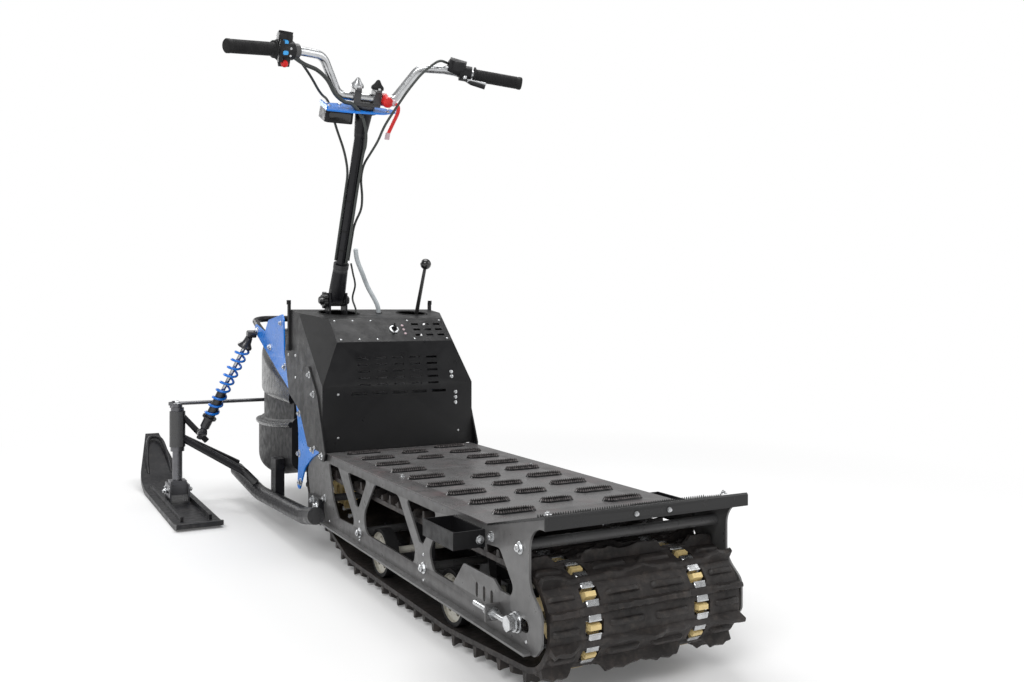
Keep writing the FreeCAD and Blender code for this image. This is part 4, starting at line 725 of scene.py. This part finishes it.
def bar_end(side):
    """Outer end, inner end and outward direction of the handlebar's outer run."""
    outer = on_mast(side * BAR_HALF, MAST + BAR_RISE + 2, BAR_SWEEP)
    inner = on_mast(side * BEND_X, MAST + BAR_RISE, BEND_BACK)
    return outer, inner, (outer - inner).normalized()


def on_bar(side, inset, back=0.0, rise=0.0):
    """A point from millimetres in from the bar's end, to the rear and upward."""
    outer, _, along = bar_end(side)
    return outer - along * (inset * MM) + BACK * (back * MM) + UP * (rise * MM)


def grips():
    """Ribbed rubber grips with a flange and a rolled end."""
    for side, name in ((LEFT, "left"), (RIGHT, "right")):
        mesh = Mesh()
        outer, _, along = bar_end(side)
        start = outer - along * 0.126
        profile = [(0.0, 0.012), (0.0, 0.0205), (0.004, 0.0205), (0.0055, 0.0165)]
        for k in range(26):
            s = 0.009 + k * 0.0041
            profile += [(s, 0.0152), (s + 0.0009, 0.0160), (s + 0.0026, 0.0160), (s + 0.0035, 0.0152)]
        profile += [(0.1205, 0.0165), (0.1265, 0.0165), (0.1288, 0.0140), (0.1290, 0.004)]
        mesh.lathe(profile, start, along, 36)
        mesh.piece(f"grip_{name}", "rubber", "handlebar", replaces=["grips"] if side == LEFT else ())


def hand_controls():
    """Buttons, screws and lever details on the two housings."""
    blue, red, shell, metal, pale = Mesh(), Mesh(), Mesh(), Mesh(), Mesh()
    _, _, along = bar_end(LEFT)
    for rise, size in ((20, 13), (-2, 14)):
        spot = on_bar(LEFT, GRIP + 22, 21 if rise < 5 else 12, rise)
        blue.block(spot, (along, UP, BACK), (0.018, size * MM * 0.85, 0.008), 0.85, 0.003)
    red.lathe([(-0.003, 0.0085), (0.004, 0.0088), (0.007, 0.0072), (0.008, 0.004)],
              on_bar(LEFT, GRIP + 24, 15, -28), (BACK - UP * 0.4).normalized(), 24)
    shell.block(on_bar(LEFT, GRIP + 24, -6, 26), (along, BACK, UP), (0.040, 0.032, 0.026), 0.95, 0.005)
    shell.block(on_bar(LEFT, GRIP + 12, 0, 0), (along, BACK, UP), (0.012, 0.050, 0.050), 1.0, 0.012)
    for rise in (-12, 12):
        metal.lathe([(0, 0.003), (0.0016, 0.0026)], on_bar(LEFT, GRIP + 36, 23, rise * 0.7), BACK, 16)
    # right housing: a case over the bar, a thumb lever and its pivot
    _, _, out = bar_end(RIGHT)
    shell.block(on_bar(RIGHT, GRIP + 46, 2, 18), (out, BACK, UP), (0.040, 0.040, 0.022), 0.85, 0.008)
    metal.lathe([(0, 0.0055), (0.004, 0.0052), (0.006, 0.003)], on_bar(RIGHT, GRIP + 28, 22, -6), BACK, 20)
    metal.block(on_bar(RIGHT, GRIP - 2, 30, -13), (out, UP, BACK), (0.052, 0.010, 0.004), 0.9, 0.003)
    # stop button and its plug
    red.lathe([(-0.001, 0.0138), (0.010, 0.0142), (0.016, 0.0128), (0.018, 0.008)],
              on_mast(48, MAST + 1, 22), BACK, 32)
    pale.lathe([(0, 0.009), (0.012, 0.0085), (0.014, 0.006)],
               on_mast(58, MAST + 1, 26), (BACK + X * 0.9).normalized(), 24)
    blue.piece("switch_buttons", BUTTON_BLUE, "handlebar", slot="blue_paint")
    red.piece("stop_buttons", "red_plastic", "handlebar")
    shell.piece("control_shells", "black_plastic", "handlebar")
    metal.piece("control_screws", "zinc", "handlebar")
    pale.piece("tether_plug", PALE_PLUG, "handlebar", slot="red_plastic")


def tether():
    """The flat red tether strap that hangs from the stop button."""
    line = curve_through([on_mast(62, MAST + 2, 30), on_mast(74, MAST - 4, 38), on_mast(78, MAST - 22, 36),
                          on_mast(72, MAST - 52, 30), on_mast(64, MAST - 84, 26)], 8)
    mesh = Mesh()
    rings = []
    for i, point in enumerate(line):
        ahead = (line[min(i + 1, len(line) - 1)] - line[max(i - 1, 0)]).normalized()
        wide = (X - ahead * X.dot(ahead)).normalized() * 0.0048
        thick = ahead.cross(wide).normalized() * 0.0009
        rings.append([point - wide - thick, point + wide - thick, point + wide + thick, point - wide + thick])
    mesh.rings(rings)
    mesh.piece("tether_strap", "red_plastic", "handlebar")
    clip = Mesh()
    clip.block(line[-1] - UP * 0.004, (X, BACK, UP), (0.014, 0.006, 0.018), 0.8, 0.003)
    clip.piece("tether_clip", PALE_PLUG, "handlebar", slot="red_plastic")


def bar_fittings():
    """Pointed clamp caps, bolts on the plate, and ties that hold the cables to the mast."""
    caps, bolts, ties, sleeve = Mesh(), Mesh(), Mesh(), Mesh()
    # the left cap is bright and the right one is black
    for x, mesh in ((-27, caps), (27, ties)):
        mesh.lathe([(0.0, 0.0165), (0.006, 0.016), (0.014, 0.009), (0.022, 0.0045), (0.024, 0.002)],
                   on_mast(x, MAST + 25), UP, 28)
        for back in (-15, 15):
            bolts.lathe([(0, 0.0042), (0.004, 0.004), (0.0045, 0.002)], on_mast(x, MAST + 26, back), UP, 6)
    for x, back in ((-95, 30), (-60, 34), (-24, -32), (30, 36), (72, 30), (86, -14), (-96, -12), (60, -20)):
        bolts.lathe([(0, 0.0052), (0.002, 0.005), (0.0036, 0.0028)],
                    on_mast(x, MAST - 29, -back * 0.6), UP, 20)
    for along in (150, 205, 290):
        ties.lathe([(0, 0.0152), (0.0004, 0.0158), (0.004, 0.0158), (0.0044, 0.0152)],
                   on_mast(0, along), UP, 32)
    # lead bundle taped along the left half of the bar, and one lead that runs on down the mast
    path = curve_through([on_bar(LEFT, GRIP + 48, 10, -12), on_mast(-176, MAST + 70, 26),
                          on_mast(-140, MAST + 58, 18), on_mast(-110, MAST + 36, 14),
                          on_mast(-86, MAST + 4, 14), on_mast(-62, MAST - 12, 18),
                          on_mast(-40, MAST - 16, 24), on_mast(-12, MAST - 44, 33)], 8)
    sleeve.tube(path, 0.0052, 12)
    second = curve_through([on_mast(-12, MAST - 44, 33), on_mast(2, MAST - 80, 32),
                            on_mast(10, MAST - 120, 22), on_mast(8, MAST - 160, 18),
                            on_mast(7, 260, 18.5), on_mast(7, 118, 18.5)], 8)
    sleeve.tube(second, 0.0036, 10)
    caps.piece("clamp_caps", "bar_alloy", "handlebar")
    bolts.piece("bar_bolts", "zinc", "handlebar")
    ties.piece("cable_ties", "rubber", "handlebar")
    sleeve.piece("lead_bundle", "cable_sheath", "handlebar")


def dash_box():
    """The control unit under the blue plate, with a framed screen."""
    mesh, face = Mesh(), Mesh()
    centre = on_mast(-71, MAST - 49.6, -2)
    mesh.block(centre, (X, BACK, UP), (0.0735, 0.0635, 0.0325), 0.97, 0.006)
    face.block(centre + BACK * 0.0325, (X, UP, BACK), (0.058, 0.020, 0.0016), 0.97, 0.003)
    mesh.piece("dash_unit_case", "black_plastic", "handlebar", replaces=["dash_unit"])
    face.piece("dash_unit_screen", "lever_black", "handlebar")


def crossing_leads():
    """The two leads from the box to the mast foot, as fixed tubes in the mast's present pose."""
    routes = (("green_lead", 0.0026, "cable_sheath",
               [place(-52, 1290, 560), place(-51, 1284, 618), on_mast(45, 8, 6), on_mast(45, 50, 10),
                on_mast(35, 84, 6), on_mast(26.5, 112, 2)]),
              ("hose_lead", 0.0062, "hose_plastic",
               [place(25, 1299, 566), place(20.2, 1296, 606), place(12, 1290, 640), on_mast(84, 44, 6),
                on_mast(60, 88, 8), on_mast(40, 126, 8), on_mast(32, 156, 6)]))
    for name, radius, material, route in routes:
        mesh = Mesh()
        mesh.tube(curve_through(route, 10), radius, 16)
        lead = mesh.piece(f"{name}_bending", material, None, replaces=[name])
        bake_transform(lead)


# ---------------------------------------------------------------- front end

def rounded_ring(half, low, high, r_low, r_high, station, per_corner=10):
    """A closed section, symmetric about the middle, with round corners."""
    r_low, r_high = min(r_low, half * 0.98), min(r_high, half * 0.98)
    corners = [(half - r_low, low + r_low, r_low, -90), (half - r_high, high - r_high, r_high, 0),
               (-half + r_high, high - r_high, r_high, 90), (-half + r_low, low + r_low, r_low, 180)]
    ring = []
    for x, z, r, start in corners:
        for k in range(per_corner + 1):
            a = math.radians(start + 90 * k / per_corner)
            ring.append(place(x + r * math.cos(a), station, z + r * math.sin(a)))
    return ring


def shell(name, sections, material, node):
    """A smooth body through (station, half, low, high, r_low, r_high) sections."""
    rings = []
    steps = 6
    for i in range(len(sections) - 1):
        after = min(i + 2, len(sections) - 1)
        quads = [sections[max(i - 1, 0)], sections[i], sections[i + 1], sections[after]]
        for k in range(steps):
            mixed = [spline(*values, k / steps) for values in zip(*quads)]
            rings.append(rounded_ring(*mixed[1:], mixed[0]))
    rings.append(rounded_ring(*sections[-1][1:], sections[-1][0]))
    mesh = Mesh()
    mesh.rings(rings)
    return mesh.piece(name, material, "frame", replaces=[node], smooth=40)


def nose():
    """Smooth hull and cowl, with a dark belt, rim, louvres and post."""
    hull = [(1412, 196, 170, 320, 30, 22), (1600, 196, 132, 300, 30, 22), (1760, 190, 122, 290, 32, 22),
            (1880, 173, 128, 286, 36, 24), (1980, 140, 148, 280, 40, 26), (2050, 106, 176, 272, 36, 26),
            (2089, 72, 205, 264, 24, 22)]
    cowl = [(1452, 193, 352, 412, 14, 20), (1560, 193, 352, 452, 18, 36), (1700, 189, 352, 502, 20, 60),
            (1830, 174, 352, 548, 24, 80), (1920, 153, 352, 562, 30, 84), (2000, 127, 352, 548, 34, 76),
            (2060, 102, 352, 510, 36, 62), (2088, 84, 358, 462, 30, 44)]
    shell("nose_hull_skin", hull, "black_plastic", "nose_hull")
    shell("nose_cowl_skin", cowl, "cowl_plastic", "nose_cowl")
    belt = Mesh()
    belt.rings([rounded_ring(half, 276, 362, 6, 6, station) for station, half in
                ((1424, 186), (1600, 186), (1740, 182), (1840, 166), (1930, 140))])
    belt.piece("nose_belt", "black_plastic", "frame")
    # a bright-edged rim along the top of the hull, and air slots in the cowl
    rim, slots, post = Mesh(), Mesh(), Mesh()
    for side in (LEFT, RIGHT):
        edge = ((198, 1414, 300), (198, 1600, 282), (192, 1760, 272), (175, 1880, 268), (142, 1980, 262),
                (108, 2050, 254))
        line = curve_through([place(side * x, station, z) for x, station, z in edge], 8)
        rim.tube(line, 0.008, 14)
        for k in range(5):
            spot = place(side * 120, 1700 + 26 * k, 486 + 8 * k)
            slots.block(spot, (Y, X, Z), (0.012, 0.075, 0.030), 0.7, 0.004)
    post.block(place(0, 1580, 328), (X, Y, Z), (0.078, 0.038, 0.052), 1, 0.006)
    rim.piece("hull_rim", "cowl_plastic", "frame")
    slots.piece("cowl_louvres", "black_plastic", "frame")
    post.piece("nose_post", "black_steel", "frame")


def lamp():
    """Headlight: bezel, reflector and domed lens."""
    centre = place(0, 2040, 462)
    along = (place(0, 2112, 443) - centre).normalized()
    bezel, bowl, lens = Mesh(), Mesh(), Mesh()
    bezel.lathe([(0.030, 0.0465), (0.0, 0.0475), (0.0, 0.050), (0.066, 0.0485), (0.0715, 0.0470),
                 (0.0725, 0.0440), (0.070, 0.0420), (0.030, 0.0415)], centre, along, 48)
    bowl.lathe([(0.030, 0.006), (0.034, 0.016), (0.044, 0.029), (0.062, 0.0412), (0.064, 0.0412),
                (0.032, 0.0010)], centre, along, 40)
    lens.lathe([(0.0645, 0.0412), (0.0685, 0.0412), (0.0715, 0.030), (0.0728, 0.014), (0.0732, 0.002),
                (0.0645, 0.002)], centre, along, 48)
    bezel.piece("headlight_bezel", "black_plastic", "frame", replaces=["headlight"])
    bowl.piece("headlight_reflector", CHROME, "frame", slot="zinc")
    lens.piece("headlight_lens", "lamp_glass", "frame")


def springs():
    """Coil springs, rods and collars of the two shocks."""
    coil, body, rods = Mesh(), Mesh(), Mesh()
    for side in (LEFT, RIGHT):
        a = place(side * 350, 1895, 234)
        b = place(side * 224, 1776, 548)
        along = (b - a).normalized()
        reach = (b - a).length
        across, up = cross_axes(along)
        turns, start, end = 9, 0.062, reach - 0.05
        path = []
        for k in range(turns * 20 + 1):
            s = k / (turns * 20)
            angle = 2 * math.pi * turns * s
            path.append(a + along * (start + (end - start) * s)
                        + (across * math.cos(angle) + up * math.sin(angle)) * 0.0185)
        coil.tube(path, 0.0038, 10)
        body.lathe([(-0.022, 0.009), (0.014, 0.010), (0.020, 0.0148), (0.052, 0.015), (0.053, 0.0225),
                    (0.058, 0.0225), (0.0585, 0.0145), (0.15, 0.0145), (0.152, 0.007)], a, along, 36)
        body.lathe([(reach - 0.047, 0.0225), (reach - 0.042, 0.0225), (reach - 0.030, 0.014),
                    (reach - 0.012, 0.011)], a, along, 36)
        rods.lathe([(0.150, 0.0062), (reach - 0.04, 0.0062)], a, along, 24)
        for centre, x0, x1 in ((a, -0.014, 0.014), (b, -0.012, 0.0158)):
            outward = X * side
            body.lathe([(-x1, 0.011), (-x1 + 0.002, 0.012), (-x0 - 0.002, 0.012), (-x0, 0.011)],
                       centre, outward, 28)
    coil.piece("shock_springs", "blue_paint", "frame")
    body.piece("shock_bodies", "shock_body", "frame", replaces=["shocks"])
    rods.piece("shock_rods", "bar_alloy", "frame")


def ski_details():
    """Grab loops at the tips and saddle bolts on the skis."""
    for side, body in ((LEFT, "ski_left"), (RIGHT, "ski_right")):
        grab, bolts = Mesh(), Mesh()
        x = side * 420
        line = curve_through([place(x - 38, 2280, 50), place(x - 36, 2330, 92), place(x - 24, 2400, 150),
                              place(x, 2428, 161), place(x + 24, 2400, 150), place(x + 36, 2330, 92),
                              place(x + 38, 2280, 50)], 8)
        grab.tube(line, 0.0062, 14)
        grab.piece(f"{body}_loop", "ski_plastic", body)
        for dx in (-1, 1):
            hex_bolt(bolts, place(x + dx * 36, 1925, 52), X * dx, 0.0085)
            for dy in (-30, 30):
                hex_bolt(bolts, place(x + dx * 30.2, 1925 + dy, 60), X * dx, 0.0045)
        hex_bolt(bolts, place(x, 1925, 325.5), Z, 0.009)
        bolts.piece(f"{body}_bolts", "zinc", body)


# ---------------------------------------------------------------- stage

def studio():
    """White floor that glows away from the object, white background and soft lights."""
    floor_mesh = bpy.data.meshes.new("floor")
    size = 40
    corners = [(-size, -size, 0), (size, -size, 0), (size, size, 0), (-size, size, 0)]
    floor_mesh.from_pydata(corners, [], [(0, 1, 2, 3)])
    floor = bpy.data.objects.new("floor", floor_mesh)
    bpy.context.scene.collection.objects.link(floor)
    mat = bpy.data.materials.new("floor_white")
    mat.use_nodes = True
    nodes, links = mat.node_tree.nodes, mat.node_tree.links
    socket(nodes["Principled BSDF"], "Base Color", (0.88, 0.88, 0.88, 1))
    socket(nodes["Principled BSDF"], "Roughness", 0.85)
    glow, mix = nodes.new("ShaderNodeEmission"), nodes.new("ShaderNodeMixShader")
    spot, reach, far = (nodes.new("ShaderNodeTexCoord"), nodes.new("ShaderNodeVectorMath"),
                        nodes.new("ShaderNodeMapRange"))
    reach.operation = "LENGTH"
    far.interpolation_type = "SMOOTHSTEP"
    for key, number in (("From Min", 1.1), ("From Max", 2.6), ("To Min", 0.1), ("To Max", 1.0)):
        far.inputs[key].default_value = number
    links.new(spot.outputs["Object"], reach.inputs[0])
    links.new(reach.outputs["Value"], far.inputs["Value"])
    links.new(far.outputs["Result"], mix.inputs["Fac"])
    links.new(nodes["Principled BSDF"].outputs["BSDF"], mix.inputs[1])
    links.new(glow.outputs["Emission"], mix.inputs[2])
    links.new(mix.outputs["Shader"], nodes["Material Output"].inputs["Surface"])
    floor_mesh.materials.append(mat)

    world = bpy.data.worlds.new("studio")
    bpy.context.scene.world = world
    world.use_nodes = True
    nodes, links = world.node_tree.nodes, world.node_tree.links
    background = nodes["Background"]
    background.inputs["Color"].default_value = (1, 1, 1, 1)
    path = nodes.new("ShaderNodeLightPath")
    either = nodes.new("ShaderNodeMath")
    either.operation = "MAXIMUM"
    links.new(path.outputs["Is Camera Ray"], either.inputs[0])
    links.new(path.outputs["Is Transmission Ray"], either.inputs[1])
    strength = nodes.new("ShaderNodeMapRange")
    strength.inputs["To Min"].default_value = 0.42
    strength.inputs["To Max"].default_value = 1.0
    links.new(either.outputs[0], strength.inputs["Value"])
    links.new(strength.outputs["Result"], background.inputs["Strength"])

    target = Vector((0, -0.2, 0.45))
    for name, spot, power, size in (("key", (-2.6, -3.2, 3.4), 105, 2.2), ("fill", (3.4, -2.0, 2.4), 40, 2.6),
                                    ("top", (0.2, 0.3, 4.2), 90, 2.6), ("back", (-1.5, 4.2, 2.6), 60, 2.0)):
        data = bpy.data.lights.new(name, "AREA")
        data.energy = power
        data.size = size
        light = bpy.data.objects.new(name, data)
        light.location = spot
        light.rotation_euler = (target - Vector(spot)).to_track_quat("-Z", "Y").to_euler()
        bpy.context.scene.collection.objects.link(light)


def camera():
    """A level camera behind and to the left, at the height of a crouching person's chest."""
    lens, shift, turn = 33.57, -0.0322, -28.66
    data = bpy.data.cameras.new("camera")
    data.sensor_width = 36.0
    data.lens = lens
    data.shift_y = shift
    cam = bpy.data.objects.new("camera", data)
    cam.location = place(-942.5, -1248.2, 630)
    cam.rotation_euler = (math.radians(90), 0, math.radians(turn))
    bpy.context.scene.collection.objects.link(cam)
    bpy.context.scene.camera = cam


deck_teeth()
kick_teeth()
plate_bolts()
control_band()
hood_trim()
track()
dark_shafts()
wheel_tyres()
grips()
hand_controls()
tether()
bar_fittings()
dash_box()
crossing_leads()
nose()
lamp()
springs()
ski_details()
studio()
camera()
bpy.context.scene.view_settings.view_transform = "Standard"
